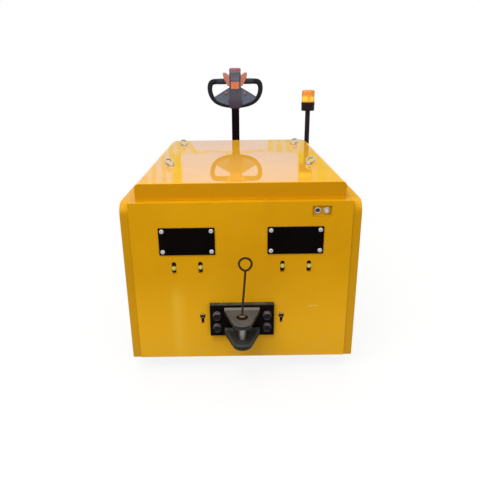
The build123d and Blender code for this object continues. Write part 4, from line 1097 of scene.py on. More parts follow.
@dataclass
class Studio:
    """Camera, light and floor that stand around the machine."""

    lens: float = 35.52
    stand: Point = (-0.013, -2.865, 1.415)
    yaw: float = 0.22
    pitch: float = 19.8
    roll: float = -0.68
    sky: tuple[float, float] = (0.52, 0.86)
    lamps: tuple[tuple[str, Point, Point, float, float], ...] = (
        ("key_light", (-1.6, -3.2, 4.6), (0, -0.2, 0.6), 3.2, 170.0),
        ("fill_light", (2.6, -4.2, 1.9), (0, -0.6, 0.6), 2.6, 26.0),
        ("top_light", (0.2, 0.9, 4.8), (0, 0.1, 0.9), 3.4, 80.0))
    hall: Colour = (0.45, 0.48, 0.02, 1.0)
    glass: Colour = (0.42, 0.66, 1.0, 1.0)
    panes: tuple[tuple[float, float, float, float], ...] = (
        (-0.115, 0.125, 0.167, 0.62), (-0.090, 0.060, 0.130, 0.157), (-0.30, -0.165, 0.132, 0.150))

    def camera(self) -> None:
        """Stand the camera where the photograph was taken from."""
        yaw, pitch, roll = (math.radians(angle) for angle in (self.yaw, self.pitch, self.roll))
        level = Vector((math.sin(yaw), math.cos(yaw), 0))
        up = Vector((0, 0, 1))
        right = Vector((math.cos(yaw), -math.sin(yaw), 0))
        view = level * math.cos(pitch) - up * math.sin(pitch)
        top = up * math.cos(pitch) + level * math.sin(pitch)
        leaned = right * math.cos(roll) + top * math.sin(roll)
        top = top * math.cos(roll) - right * math.sin(roll)
        data = bpy.data.cameras.new("camera")
        data.lens = self.lens
        data.sensor_width = 36.0
        data.clip_end = 60.0
        camera = bpy.data.objects.new("camera", data)
        turn = Matrix((leaned, top, -view)).transposed()
        camera.matrix_world = Matrix.Translation(self.stand) @ turn.to_4x4()
        bpy.context.scene.collection.objects.link(camera)
        bpy.context.scene.camera = camera

    def reflected_hall(self, sky: Graph, across: Signal, rise: Signal) -> Signal:
        """Colour of the warm hall with its windows, which only reflections show.

        Args:
            sky: The world's node tree.
            across: Place to the side, as a share of the distance ahead.
            rise: Height, as a share of the distance ahead.

        Returns:
            The hall's colour.
        """
        spot = sky.node("ShaderNodeCombineXYZ", {}, {0: across, 1: rise * 0.6})
        wobble = sky.node("ShaderNodeTexNoise", {}, {"Vector": spot, "Scale": 22.0, "Detail": 1.0}) - 0.5
        wavy, lifted = across + wobble * 0.022, rise + wobble * 0.016
        glass: Value = 0.0
        for left, right, low, high in self.panes:
            pane = (wavy.ramp(left - 0.014, left + 0.014) * wavy.ramp(right + 0.014, right - 0.014)
                    * lifted.ramp(low - 0.010, low + 0.010) * lifted.ramp(high + 0.014, high - 0.014))
            glass = pane.ramp(0.20, 0.42).most(glass)
        grain = sky.node("ShaderNodeTexWave", {"bands_direction": "X"}, {
            "Vector": spot, "Scale": 14.0, "Distortion": 6.0, "Detail": 2.0, "Detail Scale": 1.4})
        aside = (across.ramp(-0.125, -0.150).most(across.ramp(0.140, 0.160) * 0.25)
                 * across.size().ramp(0.55, 0.40))
        band = rise.ramp(0.175, 0.160) * 0.70
        streaks = (grain.ramp(0.10, 0.90) * 0.55 + 0.35) * aside.most(band)
        return sky.mix(glass.most(streaks), self.hall, self.glass)

    def world(self) -> None:
        """Show white to the camera, the hall in reflections, and light the rest softly."""
        world = bpy.data.worlds.new("studio")
        bpy.context.scene.world = world
        world.use_nodes = True
        sky = Graph(world.node_tree, "ShaderNodeOutputWorld")
        way = sky.node("ShaderNodeTexCoord", output="Generated")
        ahead = sky.part(way, 1)
        across, rise = (sky.part(way, index) / ahead.most(0.02) for index in (0, 2))
        inside = (ahead.ramp(0.02, 0.12) * rise.ramp(0.118, 0.128) * rise.ramp(1.2, 0.6)
                  * sky.ray("Glossy", "Transmission"))
        plain = sky.node("ShaderNodeBackground", {}, {
            "Color": sky.mix(inside, WHITE, self.reflected_hall(sky, across, rise)), "Strength": 1.0})
        height = sky.part(way, 2).ramp(0.0, 0.9)
        level, zenith = self.sky
        soft = sky.node("ShaderNodeBackground", {}, {
            "Color": (1.0, 0.99, 0.97, 1.0), "Strength": height * (zenith - level) + level})
        sky.show(sky.blend(sky.ray("Camera", "Glossy", "Transmission"), soft, plain))

    def lamp(self, name: str, spot: Point, target: Point, size: float, power: float) -> Piece:
        """Hang a square area light that looks at a target.

        Args:
            name: The lamp's name.
            spot: Where it hangs.
            target: What it looks at.
            size: Length of its sides.
            power: Its power in watts.

        Returns:
            The lamp.
        """
        data = bpy.data.lights.new(name, "AREA")
        data.shape = "SQUARE"
        data.size = size
        data.energy = power
        lamp = bpy.data.objects.new(name, data)
        lamp.location = spot
        lamp.rotation_euler = (Vector(target) - Vector(spot)).to_track_quat("-Z", "Y").to_euler()
        lamp.visible_glossy = False
        lamp.visible_camera = False
        bpy.context.scene.collection.objects.link(lamp)
        return lamp

    def floor(self) -> None:
        """Lay a white floor that keeps the machine's shadow and gives little light back."""
        Bench.clear()
        bpy.ops.mesh.primitive_plane_add(size=40.0, location=(0, 0, 0))
        floor = Bench.named("studio_floor")
        mix = Recipe("floor_white")
        colour = mix.mix(mix.noise(1.4, 2.0), (0.78, 0.78, 0.78, 1), (0.82, 0.82, 0.82, 1))
        mix.surface(Base_Color=colour, Roughness=0.9, Specular_IOR_Level=0.0)
        glow = mix.node("ShaderNodeEmission", {}, {"Color": WHITE, "Strength": 1.0})
        far = mix.node("ShaderNodeVectorMath", {"operation": "LENGTH"}, {0: mix.place()}, "Value")
        plain = mix.blend(far.ramp(1.5, 3.2) * 0.13 + 0.87, mix.main, glow)
        dark = mix.node("ShaderNodeBsdfDiffuse", {}, {"Color": (0.34, 0.34, 0.34, 1)})
        mix.show(mix.blend(mix.ray("Camera", "Glossy", "Transmission"), dark, plain))
        floor.data.materials.append(mix.material)

    def build(self) -> None:
        """Set up everything around the machine."""
        self.camera()
        self.world()
        [self.lamp(*row) for row in self.lamps]
        self.floor()
        bpy.context.scene.view_settings.view_transform = "Standard"


@dataclass
class BodyShell(Assembly):
    """Plates of the body and the hood, which keep their CAD shapes."""

    painted: tuple[str, ...] = ("side_panel_left", "side_panel_right", "hitch_face_plate", "deck_plate",
                                "front_panel", "nose_skirt", "hood", "switch_tray")
    hidden: tuple[str, ...] = ("bulkhead", "battery_floor", "ladder_frame", "drive_deck", "clamp_bars")
    screw: Screw = Screw(0.0085, 0.0042)
    screw_inset: float = 0.024
    screw_rows: tuple[float, ...] = (0.115, 0.255, 0.600, 0.725, 0.842)
    screw_columns: tuple[float, ...] = (-0.238, 0.0, 0.238)
    skirt_radius: float = 0.240
    skirt_rows: tuple[float, ...] = (0.130, 0.350)
    skirt_angles: tuple[float, ...] = (22.0, 90.0, 158.0)

    def build(self) -> None:
        """Dress the plates and screw on the far panel and its skirt."""
        Finish.BODY.dress(*self.painted)
        Finish.UNDER.dress(*self.hidden)
        low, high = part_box("front_panel")
        spots = [(x, high.y, z) for x in (low.x + self.screw_inset, high.x - self.screw_inset)
                 for z in self.screw_rows]
        spots += [(x, high.y, self.screw_rows[-1]) for x in self.screw_columns]
        self.fasten("panel_screws", self.screw.model("panel_screw"), spots, "chassis", Along.TO_TILLER)
        self.skirt_screws()

    def skirt_screws(self) -> None:
        """Screw the half-round skirt to its frame."""
        centre = middle("slewing_ring")
        made = []
        for index, angle in enumerate(self.skirt_angles):
            turn = math.radians(angle)
            for row, height in enumerate(self.skirt_rows):
                screw = Bench.place(self.screw.model(f"skirt_screw_{index}_{row}"), ORIGIN, Along.TO_TILLER)
                screw.rotation_euler = (0, 0, turn - math.pi / 2)
                screw.location = (centre.x + self.skirt_radius * math.cos(turn),
                                  centre.y + self.skirt_radius * math.sin(turn), height)
                made.append(Bench.settle(screw))
        self.keep(Bench.join("skirt_screws", made), Finish.ZINC, "chassis", "bolt_steel")


@dataclass
class LiftingEyes(Assembly):
    """Four ring eyes on the hood, leaning back and each turned its own way."""

    half_x: float = 0.360
    backs: tuple[float, ...] = (0.450, 1.150)
    ring: float = 0.020
    wire: float = 0.0055
    lean: float = 50.0
    collar: float = 0.015
    collar_h: float = 0.006
    turns: tuple[float, ...] = (40.0, -40.0, 20.0, -25.0)

    def build(self) -> None:
        """Model one eye and copy it to its four places."""
        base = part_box("lifting_eyes")[0].z
        steps = [2 * math.pi * index / 12 for index in range(12)]
        section = [(self.ring + self.wire * math.cos(step), self.wire * math.sin(step)) for step in steps]
        ring = Bench.turned("eye_ring", section, 40, hollow=True)
        Bench.place(ring, (0, 0, self.ring), Along.TO_HITCH)
        ring.rotation_euler = (-math.radians(self.lean), 0, 0)
        Bench.place(Bench.settle(ring), (0, 0, self.collar_h))
        foot = Bench.turned("eye_foot", [
            (self.collar, 0), (self.collar, self.collar_h * 0.6), (self.collar * 0.9, self.collar_h * 0.9),
            (self.collar * 0.8, self.collar_h), (self.wire * 1.7, self.collar_h + 0.0008),
            (self.wire * 1.35, self.collar_h + 0.003), (self.wire * 1.0, self.collar_h + 0.0045)], 32)
        spots = [(x, FACE_Y + back, base) for back in self.backs for x in (-self.half_x, self.half_x)]
        self.fasten("lifting_eye_rings", Bench.join("eye", [ring, foot]), spots, "hood", Along.UP, self.turns,
                    Finish.EYE, ["lifting_eyes"])


@dataclass
class HitchEnd(Assembly):
    """Cover screws, slot bolts, keyhole studs and switches on the hitch end."""

    screw: Screw = Screw(0.0105, 0.0055)
    screw_inset: float = 0.0160
    slot_bolt: Bolt = Bolt(0.0145, 0.0070, 0.0106, 0.0018)
    slot_xs: tuple[float, ...] = (-0.311, -0.189, 0.189, 0.311)
    slot_z: float = 0.557
    slot_lifts: tuple[float, ...] = (-0.002, 0.001, 0.004, 0.003)
    slot_turns: tuple[float, ...] = (8.0, 22.0, 41.0, 15.0)
    keyhole_z: float = 0.305
    plate_t: float = 0.020

    def build(self) -> None:
        """Model the fasteners and the switches."""
        Finish.COVER.dress("cover_plate_left", "cover_plate_right")
        spots = []
        for low, high in (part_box("cover_plate_left"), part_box("cover_plate_right")):
            spots += [(x, low.y, z) for x in (low.x + self.screw_inset, high.x - self.screw_inset)
                      for z in (low.z + self.screw_inset, high.z - self.screw_inset)]
        self.fasten("cover_screws", self.screw.model("cover_screw"), spots, "chassis", Along.TO_HITCH)
        self.slot_bolts()
        self.keyhole_studs()
        self.switch("key_switch", Finish.KEY, keyed=True)
        self.switch("push_button", Finish.WHITE_CAP, keyed=False)

    def slot_bolts(self) -> None:
        """Model the bolts that hold the face plate through its four slots."""
        bolt = self.slot_bolt.model("slot_bolt_head")
        stud = Bench.turned("slot_stud", [(0.0046, 0.009), (0.0046, 0.0128), (0.0038, 0.0140)], 20)
        shank = Bench.turned("slot_shank", [(0.0060, -0.0198), (0.0060, 0.0004)], 20)
        spots = [(x, FACE_Y, self.slot_z + lift) for x, lift in zip(self.slot_xs, self.slot_lifts)]
        self.fasten("slot_bolts", Bench.join("slot_bolt", [bolt, stud, shank]), spots, "chassis",
                    Along.TO_HITCH, self.slot_turns, Finish.YELLOW_ZINC)

    def keyhole_studs(self) -> None:
        """Model the collared studs in the round ends of the keyholes."""
        back = -self.plate_t - 0.0002
        stud = Bench.turned("keyhole_stud", [
            (0.0155, back - 0.003), (0.0155, back), (0.0075, back), (0.0075, -0.003), (0.0100, -0.003),
            (0.0106, -0.0015), (0.0106, 0.0020), (0.0098, 0.0032), (0.0060, 0.0036), (0.0054, 0.0026)], 32)
        spots = [(side * KEYHOLE_X, FACE_Y, self.keyhole_z) for side in (-1, 1)]
        self.fasten("keyhole_studs", stud, spots, "chassis", Along.TO_HITCH, finish=Finish.STUD)

    def switch(self, node: str, cap_finish: Finish, keyed: bool) -> None:
        """Stand a bright ring and a cap in place of one CAD switch.

        Args:
            node: The CAD switch.
            cap_finish: Finish of the cap.
            keyed: True for a keyhole, False for a plain push cap.
        """
        low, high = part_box(node)
        radius, depth = (high.x - low.x) / 2, high.y - low.y
        centre = middle(node)
        foot = (centre.x, high.y, centre.z)
        ring = Bench.turned(node + "_ring", [
            (0.62, 0), (1, 0), (1, 0.62), (0.96, 0.78), (0.86, 0.92), (0.74, 0.94), (0.68, 0.84), (0.66, 0.5),
            (0.62, 0.45)], 40, True, (radius, depth))
        self.keep(Bench.place(ring, foot, Along.TO_HITCH), Finish.RING, "chassis", "switch_dark")
        proud = 0.80 if keyed else 1.0
        cap = Bench.turned(node + "_cap", [
            (0.60, 0), (0.60, 0.72), (0.56, 0.9), (0.46, 1), (0.26, 1), (0.24, 0.96)], 40,
            scale=(radius, depth * proud))
        if keyed:
            slot = Bench.block(node + "_slot", (-radius * 0.07, -radius * 0.22, depth * 0.70),
                               (radius * 0.07, radius * 0.22, depth * 0.90))
            cap = Bench.join(node + "_cap", [cap, Bench.round_edges(slot, radius * 0.02, 1)])
        self.keep(Bench.place(cap, foot, Along.TO_HITCH), cap_finish, "chassis",
                  "switch_dark" if keyed else "switch_white", node)


@dataclass
class TowHitch(Assembly):
    """Hitch plate, cast jaw, four bolts and the drawbar pin."""

    bolt: Bolt = Bolt(0.036, 0.0145, 0.022, 0.004)
    bolt_x: float = 0.118
    bolt_z: float = 0.290
    bolt_dz: float = 0.062
    bolt_turns: tuple[float, ...] = (30.0, 22.0, 34.0, 28.0)
    pin_radius: float = 0.018
    pin_top: float = 0.374
    crown: float = 0.006
    rod_radius: float = 0.005
    ring_z: float = 0.622
    ring_radius: float = 0.028
    lean: float = 0.016

    def build(self) -> None:
        """Dress the plate and jaw and model the bolts and pin."""
        Finish.PLATE.dress("hitch_plate")
        Finish.JAW.dress("hitch_jaw")
        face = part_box("hitch_plate")[0].y
        spots = [(x, face, self.bolt_z + dz) for x in (-self.bolt_x, self.bolt_x)
                 for dz in (-self.bolt_dz / 2, self.bolt_dz / 2)]
        self.fasten("hitch_bolt_heads", self.bolt.model("hitch_bolt"), spots, "chassis", Along.TO_HITCH,
                    self.bolt_turns, Finish.DARK_BOLT, ["hitch_bolts"])
        self.pin()

    def pin(self) -> None:
        """Model the pin with its rod and pull ring."""
        low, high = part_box("tow_pin")
        y = (low.y + high.y) / 2
        top = self.pin_top - low.z
        radius, crown, rod = self.pin_radius, self.crown, self.rod_radius
        steps = [math.radians(angle) for angle in (0, 18, 36, 54, 72)]
        dome = [(radius - crown + crown * math.cos(step), top - crown + crown * math.sin(step))
                for step in steps]
        shank = Bench.turned("pin_shank", [(radius - 0.004, 0), (radius, 0.004), (radius, 0.02)] + dome + [
            (rod * 1.7, top), (rod * 1.5, top + 0.002), (rod, top + 0.003)], 48)
        Bench.place(shank, (0, y, low.z))
        foot = low.z + top - 0.004
        rise = self.ring_z - self.ring_radius - 0.006 - foot
        pull = Bench.bent_rod("pin_rod", [(self.lean * aside, y, foot + rise * up) for aside, up in (
            (0, 0), (0.2, 0.25), (0.62, 0.62), (1, 1))], rod * 0.98)
        egg = []
        for index in range(20):
            step = 2 * math.pi * index / 20
            under = max(0.0, -math.sin(step))
            egg.append((self.lean + self.ring_radius * math.cos(step) * (1.0 - 0.10 * under ** 1.5), y,
                        self.ring_z + self.ring_radius * math.sin(step) * (1.0 + 0.12 * under)))
        ring = Bench.bent_rod("pin_ring", egg, rod * 0.98, closed=True)
        whole = Bench.join("drawbar_pin_piece", [shank, pull, ring])
        self.keep(whole, Finish.PIN, "drawbar_pin", "pin_steel", "tow_pin")


@dataclass
class LoadWheels(Assembly):
    """Two load wheels with solid tyres, bearing caps and rim bolts."""

    cap_radius: float = 0.040
    bolt: Bolt = Bolt(0.013, 0.006, 0.009, 0.0015)
    bolts: int = 6
    bolt_ring: float = 0.060
    bolt_depth: float = 0.033
    tread: Tread = Tread(rim=0.1303, shoulder=0.020, foot=0.060)

    def build(self) -> None:
        """Model both wheels and dress their hubs."""
        Finish.TURNED.dress("load_axle")
        radius = self.cap_radius
        for word, side, along in (("left", -1, Along.LEFT), ("right", 1, Along.RIGHT)):
            hub, body = "load_hub_" + word, "wheel_" + word
            Finish.WHEEL_IRON.dress(hub)
            self.tyre("load_tyre_" + word, self.tread, body, "tyre_rubber", Finish.TYRE)
            low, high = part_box(hub)
            centre = middle(hub)
            outer = high.x if side > 0 else low.x
            cap = Bench.turned("bearing_cap_" + word, [
                (radius, 0), (radius, 0.005), (radius * 0.94, 0.007), (radius * 0.86, 0.007),
                (radius * 0.84, 0.013), (radius * 0.78, 0.0165), (radius * 0.4, 0.0178), (0.006, 0.018)], 40)
            Bench.place(cap, (outer, centre.y, centre.z), along)
            self.keep(cap, Finish.WHEEL_IRON, body, "cast_grey")
            spots = self.upright_ring(self.bolts, self.bolt_ring, outer - side * self.bolt_depth, centre)
            self.fasten("rim_bolts_" + word, self.bolt.model("rim_bolt_" + word), spots, body, along,
                        (0.0, 12.0, 25.0))


@dataclass
class DriveUnit(Assembly):
    """Steered drive: motor, gearbox, turntable, drive wheel and steering arm."""

    flange_bolt: Bolt = Bolt(0.010, 0.0055, 0.0065, 0.001)
    flange_bolts: int = 8
    flange_ring: float = 0.094
    flange_top: float = 0.012
    arm_bolt: Bolt = Bolt(0.016, 0.009, 0.012, 0.002)
    arm_bolts: int = 12
    arm_ring: float = 0.119
    arm_top: float = 0.014
    nut: Bolt = Bolt(0.017, 0.012, 0.012, 0.002)
    nuts: int = 5
    nut_ring: float = 0.062
    nut_depth: float = 0.028
    tread: Tread = Tread(rim=0.1053, shoulder=0.010)
    box_face: float = 0.112
    box_z: float = 0.111
    lid: Point = (0.037, 0.006, 0.042)
    lid_screw: Screw = Screw(0.0035, 0.002)
    lid_screw_inset: float = 0.006
    cable: float = 0.0048
    cable_step: float = 0.018

    def build(self) -> None:
        """Dress the CAD pieces and add the tyre, bolts, lid and cables."""
        Finish.TURNED.dress("slewing_ring", "pivot_pin")
        Finish.BLACK.dress("steering_arm")
        Finish.CASTING.dress("turntable", "gearbox_leg")
        Finish.MOTOR.dress("drive_motor")
        Finish.WHEEL_IRON.dress("drive_hub")
        self.tyre("drive_tyre", self.tread, "drive_wheel", "drive_rubber", Finish.DRIVE_TYRE)
        hub, axis = middle("drive_tyre"), middle("slewing_ring")
        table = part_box("steering_arm")[0].z
        spots = self.level_ring(self.flange_bolts, self.flange_ring,
                                (axis.x, axis.y, table + self.flange_top), 11.0)
        self.fasten("flange_bolts", self.flange_bolt.model("flange_bolt"), spots, "steering")
        spots = self.level_ring(self.arm_bolts, self.arm_ring, (axis.x, axis.y, table + self.arm_top), 15.0)
        self.fasten("arm_bolts", self.arm_bolt.model("arm_bolt"), spots, "steering", Along.UP,
                    (0.0, 17.0, 33.0))
        spots = self.upright_ring(self.nuts, self.nut_ring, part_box("drive_hub")[1].x - self.nut_depth, hub)
        self.fasten("wheel_nuts", self.nut.model("wheel_nut"), spots, "drive_wheel", Along.RIGHT,
                    (5.0, 20.0))
        self.terminal_box(axis.x, axis.y - self.box_face, table + self.box_z)

    def terminal_box(self, middle_x: float, face: float, level: float) -> None:
        """Add the lid, screws, glands and cables of the motor's terminal box.

        Args:
            middle_x: X of the box's middle.
            face: Y of its face.
            level: Height of its middle.
        """
        half, thick, rise = self.lid
        lid = Bench.block("terminal_lid", (middle_x - half, face - thick, level - rise),
                          (middle_x + half, face, level + rise))
        Bench.sink(lid, facing(0, -1, 0), 0.010, (0, -0.0015, 0))
        self.keep(Bench.round_edges(lid, 0.0016, 2), Finish.MOTOR, "steering", "motor_black")
        aside, up = half - self.lid_screw_inset, rise - self.lid_screw_inset
        spots = [(middle_x + dx, face - thick, level + dz) for dx in (-aside, aside) for dz in (-up, up)]
        self.fasten("terminal_screws", self.lid_screw.model("terminal_screw"), spots, "steering",
                    Along.TO_HITCH)
        cables = []
        for index, offset in enumerate((-self.cable_step, 0.0, self.cable_step)):
            x, y = middle_x + offset, face + 0.012
            gland = Bench.turned(f"gland_{index}", [
                (0.009, 0), (0.009, 0.006), (0.0075, 0.008), (0.0075, 0.014), (0.006, 0.016)], 12)
            cables.append(Bench.place(gland, (x, y, level + 0.040)))
            cables.append(Bench.bent_rod(f"motor_cable_{index}", [
                (x + aside, y + deep, level + up) for aside, deep, up in (
                    (0, 0, 0.050), (0, 0, 0.085), (0.004, 0.018, 0.135), (0.010, 0.050, 0.165),
                    (0.020, 0.062, 0.150), (0.030, 0.066, 0.118))], self.cable, sides=3))
        self.keep(Bench.join("motor_cables", cables), Finish.GRIP, "steering", "motor_black")


@dataclass
class Tiller(Assembly):
    """Tiller tube and the control head with its loops, grips and buttons."""

    column_half: float = 0.045
    depth: float = 0.046
    top: float = 1.427
    cap_h: float = 0.030
    column_foot: float = 1.148
    wing_top: float = 1.284
    neck_z: float = 1.1245
    hub_z: float = 1.192
    grip_z: float = 1.329
    tube: float = 0.015
    lever_foot: float = 1.296
    screw: Screw = Screw(0.0038, 0.0022)

    def __post_init__(self) -> None:
        """Take the head's place from its CAD node."""
        centre = middle("tiller_head")
        self.x, self.y = centre.x, centre.y

    def build(self) -> None:
        """Model every piece of the head and dress the tube."""
        Finish.TUBE.dress("tiller_tube")
        self.column()
        self.wings()
        self.hub()
        self.cap()
        self.screen()
        self.horn()
        self.wing_buttons()
        self.levers()
        self.handles()

    def both(self, name: str, right: Piece, finish: Finish, slot: str, *replaced: str) -> None:
        """Mirror a piece to the head's other side and keep the pair."""
        pair = Bench.join(name, [right, Bench.mirrored(right, right.name + "_left", self.x)])
        self.keep(pair, finish, "tiller", slot, *replaced)

    def column(self) -> None:
        """Model the upright column with the screwed panel in its back."""
        half, deep = self.column_half, self.depth / 2
        shell = Bench.block("tiller_column", (-half, -deep, self.column_foot),
                            (half, deep, self.top - self.cap_h))
        Bench.round_edges(shell, 0.006, 4, 22.0)
        Bench.slice(shell, (0, 0, self.wing_top), (0, 0, 1))
        Bench.sink(shell, lambda centre, normal: normal.y > 0.99 and centre.z < self.wing_top, 0.006,
                   (0, -0.0016, 0))
        self.keep(Bench.place(shell, (self.x, self.y, 0)), Finish.HEAD, "tiller", "head_grey", "tiller_head")
        spots = [(self.x + dx, self.y + deep - 0.0016, z) for dx in (-0.026, 0.026)
                 for z in (self.hub_z + 0.012, self.wing_top - 0.014)]
        self.fasten("column_screws", self.screw.model("column_screw"), spots, "tiller", Along.TO_TILLER)

    def wings(self) -> None:
        """Model the right wing, which narrows towards the loop, and mirror it."""
        inner, deep = self.x + self.column_half, self.depth / 2 - 0.0095
        wing = Bench.block("wing", (inner - 0.006, self.y - deep, self.column_foot - 0.002),
                           (inner, self.y + deep, self.wing_top))
        Bench.extrude(wing, facing(1, 0, 0), (0.052, 0.0, -0.0125), (1.0, 0.94, 0.76))
        Bench.extrude(wing, facing(1, 0, 0), (0.064, 0.0, -0.0050), (1.0, 0.86, 0.36))
        Bench.round_edges(wing, 0.006, 4, 22.0)
        Bench.sink(wing, lambda centre, normal: normal.y < -0.97 and centre.x > inner + 0.004, 0.007,
                   (0, 0.0012, 0))
        self.both("tiller_wings", Bench.soften(wing), Finish.WING, "head_grey")

    def hub(self) -> None:
        """Model the darker foot of the head, rounded and drawn in to the tube."""
        half, deep = self.column_half + 0.008, self.depth / 2 + 0.0015
        hub = Bench.block("head_hub", (-half, -deep, self.hub_z - 0.040), (half, deep - 0.002, self.hub_z))
        Bench.extrude(hub, facing(0, 0, -1), (0, 0, -0.018), (0.80, 0.92, 1.0))
        Bench.extrude(hub, facing(0, 0, -1), (0, 0, self.neck_z - self.hub_z + 0.058), (0.84, 0.94, 1.0))
        Bench.round_edges(hub, 0.007, 4, 24.0)
        self.keep(Bench.place(hub, (self.x, self.y, 0)), Finish.HUB, "tiller", "head_grey")

    def cap(self) -> None:
        """Model the rounded belly button on top."""
        half, deep = self.column_half, self.depth / 2
        cap = Bench.block("belly_cap", (-half, -deep, self.top - self.cap_h + 0.0012), (half, deep, self.top))
        Bench.choose_faces(cap, facing(0, 0, 1))
        bpy.ops.mesh.bevel(offset=0.013, segments=5, affect="EDGES")
        Bench.done(cap)
        Bench.round_edges(cap, 0.004, 3, 40.0)
        self.keep(Bench.place(cap, (self.x, self.y, 0)), Finish.RED, "tiller", "belly_red", "belly_button")

    def screen(self) -> None:
        """Model the display: a frame with a sunken glass."""
        glass = Bench.block("display_frame", *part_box("display_panel"))
        Bench.sink(glass, facing(0, -1, 0), 0.0035, (0, 0.0008, 0))
        self.keep(Bench.round_edges(glass, 0.0006, 2), Finish.SCREEN, "tiller", "head_grey", "display_panel")

    def horn(self) -> None:
        """Model the wide orange button."""
        button = Bench.block("horn_cap", *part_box("horn_button"))
        Bench.crown(button, facing(0, -1, 0), 0.006, (0, 0.0006, 0))
        self.keep(Bench.round_edges(button, 0.0014, 3, 20.0), Finish.ORANGE, "tiller", "control_orange",
                  "horn_button")

    def wing_buttons(self) -> None:
        """Model the two round buttons on the wings."""
        low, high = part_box("wing_buttons")
        radius = (high.z - low.z) / 2
        button = Bench.turned("wing_button", [
            (radius, -0.010), (radius, 0.0026), (radius * 0.92, 0.0034), (radius * 0.86, 0.0030),
            (radius * 0.80, 0.0044), (radius * 0.5, 0.005), (radius * 0.1, 0.0049)], 32)
        spots = [(x, high.y, (low.z + high.z) / 2) for x in (low.x + radius, high.x - radius)]
        self.keep(Bench.rows("wing_button_caps", button, spots, Along.TO_HITCH), Finish.BUTTON, "tiller",
                  "control_orange", "wing_buttons")

    def levers(self) -> None:
        """Model one petal-shaped lever and mirror it."""
        low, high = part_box("thumb_levers")
        foot = self.lever_foot
        lever = Bench.block("lever", (self.x + 0.041, low.y + 0.0005, foot),
                            (self.x + 0.060, high.y, foot + 0.006))
        for move, scale in (((0.0125, 0, 0.040), (2.15, 1.0, 1.0)),
                            ((0.0065, -0.0004, 0.034), (1.14, 0.9, 1.0)),
                            ((0.0130, 0, 0.018), (0.42, 0.8, 1.0))):
            Bench.extrude(lever, facing(0, 0, 1), move, scale)
        self.both("thumb_lever_pair", Bench.round_edges(lever, 0.0034, 4, 20.0), Finish.LEVER,
                  "control_orange", "thumb_levers")

    def handles(self) -> None:
        """Model one grip and one loop and mirror them."""
        grip = Bench.turned("grip", [
            (0.0150, 0.0), (0.0215, 0.0), (0.0224, 0.0012), (0.0224, 0.004), (0.0208, 0.0056),
            (0.0204, 0.009), (0.0216, 0.030), (0.0219, 0.055), (0.0215, 0.080), (0.0207, 0.094),
            (0.0200, 0.1005), (0.0192, 0.1035), (0.0180, 0.1050)], 40)
        Bench.place(grip, (self.x + self.column_half, self.y, self.grip_z), Along.RIGHT)
        self.both("hand_grips", grip, Finish.GRIP, "grip_black", "handle_grips")
        # Each row: distance from the column's middle, height, and factor on the tube's radius.
        path = ((0.130, 1.329, 1.36), (0.164, 1.329, 1.42), (0.185, 1.3205, 1.40), (0.1955, 1.297, 1.33),
                (0.1975, 1.266, 1.24), (0.1905, 1.234, 1.18), (0.1745, 1.202, 1.12), (0.147, 1.174, 1.06),
                (0.103, 1.1555, 1.02), (0.062, 1.1470, 1.0), (0.028, 1.1425, 1.0))
        loop = Bench.bent_rod("loop", [(self.x + x, self.y, z) for x, z, _ in path], self.tube,
                              swell=[factor for _, _, factor in path], sides=7)
        self.both("handle_loop_tubes", loop, Finish.LOOP, "grip_black", "handle_loops")


@dataclass
class Beacon(Assembly):
    """Warning beacon: lens, base and post."""

    bolt: Bolt = Bolt(0.006, 0.003, 0.0045, 0.0008)
    bolts: int = 4
    bolt_ring: float = 0.0255
    flange_t: float = 0.008

    def build(self) -> None:
        """Model the lens and the base and dress the post."""
        foot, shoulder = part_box("beacon_base")
        low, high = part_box("beacon_lens")
        centre = middle("beacon_lens")
        wide, tall, height = (shoulder.x - foot.x) / 2, shoulder.z - foot.z, high.z - low.z
        base = Bench.turned("beacon_base_body", [
            (wide - 0.0040, 0), (wide - 0.0016, 0.0020), (wide - 0.0010, 0.0050),
            (wide - 0.0010, tall * 0.55), (wide - 0.0022, tall * 0.57), (wide - 0.0022, tall * 0.62),
            (wide, tall * 0.64), (wide, tall - 0.0015), (wide - 0.0015, tall)], 64)
        self.keep(Bench.place(base, (centre.x, centre.y, foot.z)), Finish.BASE, "chassis", "tray_plastic",
                  "beacon_base")
        radius = wide - 0.0010
        lens = Bench.turned("beacon_lens_cover", [
            (radius - 0.004, 0), (radius - 0.0005, 0), (radius, 0.002), (radius, 0.005),
            (radius - 0.0012, 0.0062), (radius - 0.0014, height * 0.50), (radius - 0.0004, height * 0.51),
            (radius - 0.0004, height * 0.56), (radius - 0.0014, height * 0.57),
            (radius - 0.0016, height - 0.014), (radius - 0.0030, height - 0.008),
            (radius - 0.0060, height - 0.0035), (radius - 0.0110, height - 0.0008),
            (radius - 0.0160, height), (radius - 0.0240, height - 0.0006), (0.004, height - 0.0006)], 64)
        self.keep(Bench.place(lens, (centre.x, centre.y, low.z)), Finish.LENS, "chassis", "lens_amber",
                  "beacon_lens")
        Finish.POST.dress("beacon_post")
        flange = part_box("beacon_post")[0].z + self.flange_t
        spots = self.level_ring(self.bolts, self.bolt_ring, (centre.x, centre.y, flange), 45.0)
        self.fasten("post_bolts", self.bolt.model("post_bolt"), spots, "chassis")


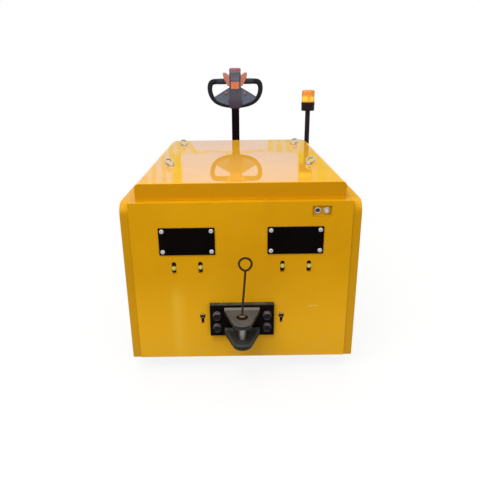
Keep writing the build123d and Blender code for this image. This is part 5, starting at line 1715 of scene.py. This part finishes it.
@dataclass
class BatteryPack(Assembly):
    """Battery under the hood: case, vent caps, poles and links."""

    rows: int = 6
    columns: int = 4
    gap: float = 0.012
    cap: float = 0.016

    def build(self) -> None:
        """Dress the case and add caps, poles and links on the cells."""
        Finish.CASE.dress("battery")
        low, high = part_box("battery")
        centre = middle("battery")
        pitch_x = (high.x - low.x - 2 * self.gap) / self.columns
        pitch_y = (high.y - low.y - 2 * self.gap) / self.rows
        caps, poles, links = [], [], []
        for column in range(self.columns):
            for row in range(self.rows):
                x = centre.x + (column - (self.columns - 1) / 2) * pitch_x
                y = centre.y + (row - (self.rows - 1) / 2) * pitch_y
                caps.append((x, y, high.z))
                poles += [(x, y - pitch_y * 0.28, high.z), (x, y + pitch_y * 0.28, high.z)]
                if row < self.rows - 1:
                    links.append((x, y + pitch_y * 0.5, high.z))
        radius = self.cap
        cap = Bench.turned("vent_cap", [
            (radius, 0), (radius, 0.0022), (radius * 0.92, 0.0030), (radius * 0.60, 0.0030),
            (radius * 0.56, 0.0046), (radius * 0.2, 0.0048)], 24)
        self.keep(Bench.rows("vent_caps", cap, caps), Finish.VENT, "chassis", "battery_case")
        pole = Bench.turned("cell_pole", [(0.013, 0), (0.013, 0.0024), (0.011, 0.0034), (0.006, 0.0036)], 20)
        self.fasten("cell_poles", pole, poles, "chassis")
        link = Bench.block("cell_link", (-0.010, -pitch_y * 0.26, 0.0010), (0.010, pitch_y * 0.26, 0.0042))
        self.keep(Bench.rows("cell_links", Bench.round_edges(link, 0.0012, 2), links), Finish.BLACK,
                  "chassis", "battery_case")


def main() -> None:
    """Build every sub-assembly in order."""
    logging.basicConfig(level=logging.INFO, format="%(message)s")
    Studio().build()
    for kind in (BodyShell, LiftingEyes, HitchEnd, TowHitch, LoadWheels, DriveUnit, Tiller, Beacon,
                 BatteryPack):
        assembly = kind()
        assembly.build()
        for piece in assembly.made:
            LOG.info("%s: %s, %d faces", kind.__name__, piece.name, len(piece.data.polygons))


if __name__ == "__main__":
    main()
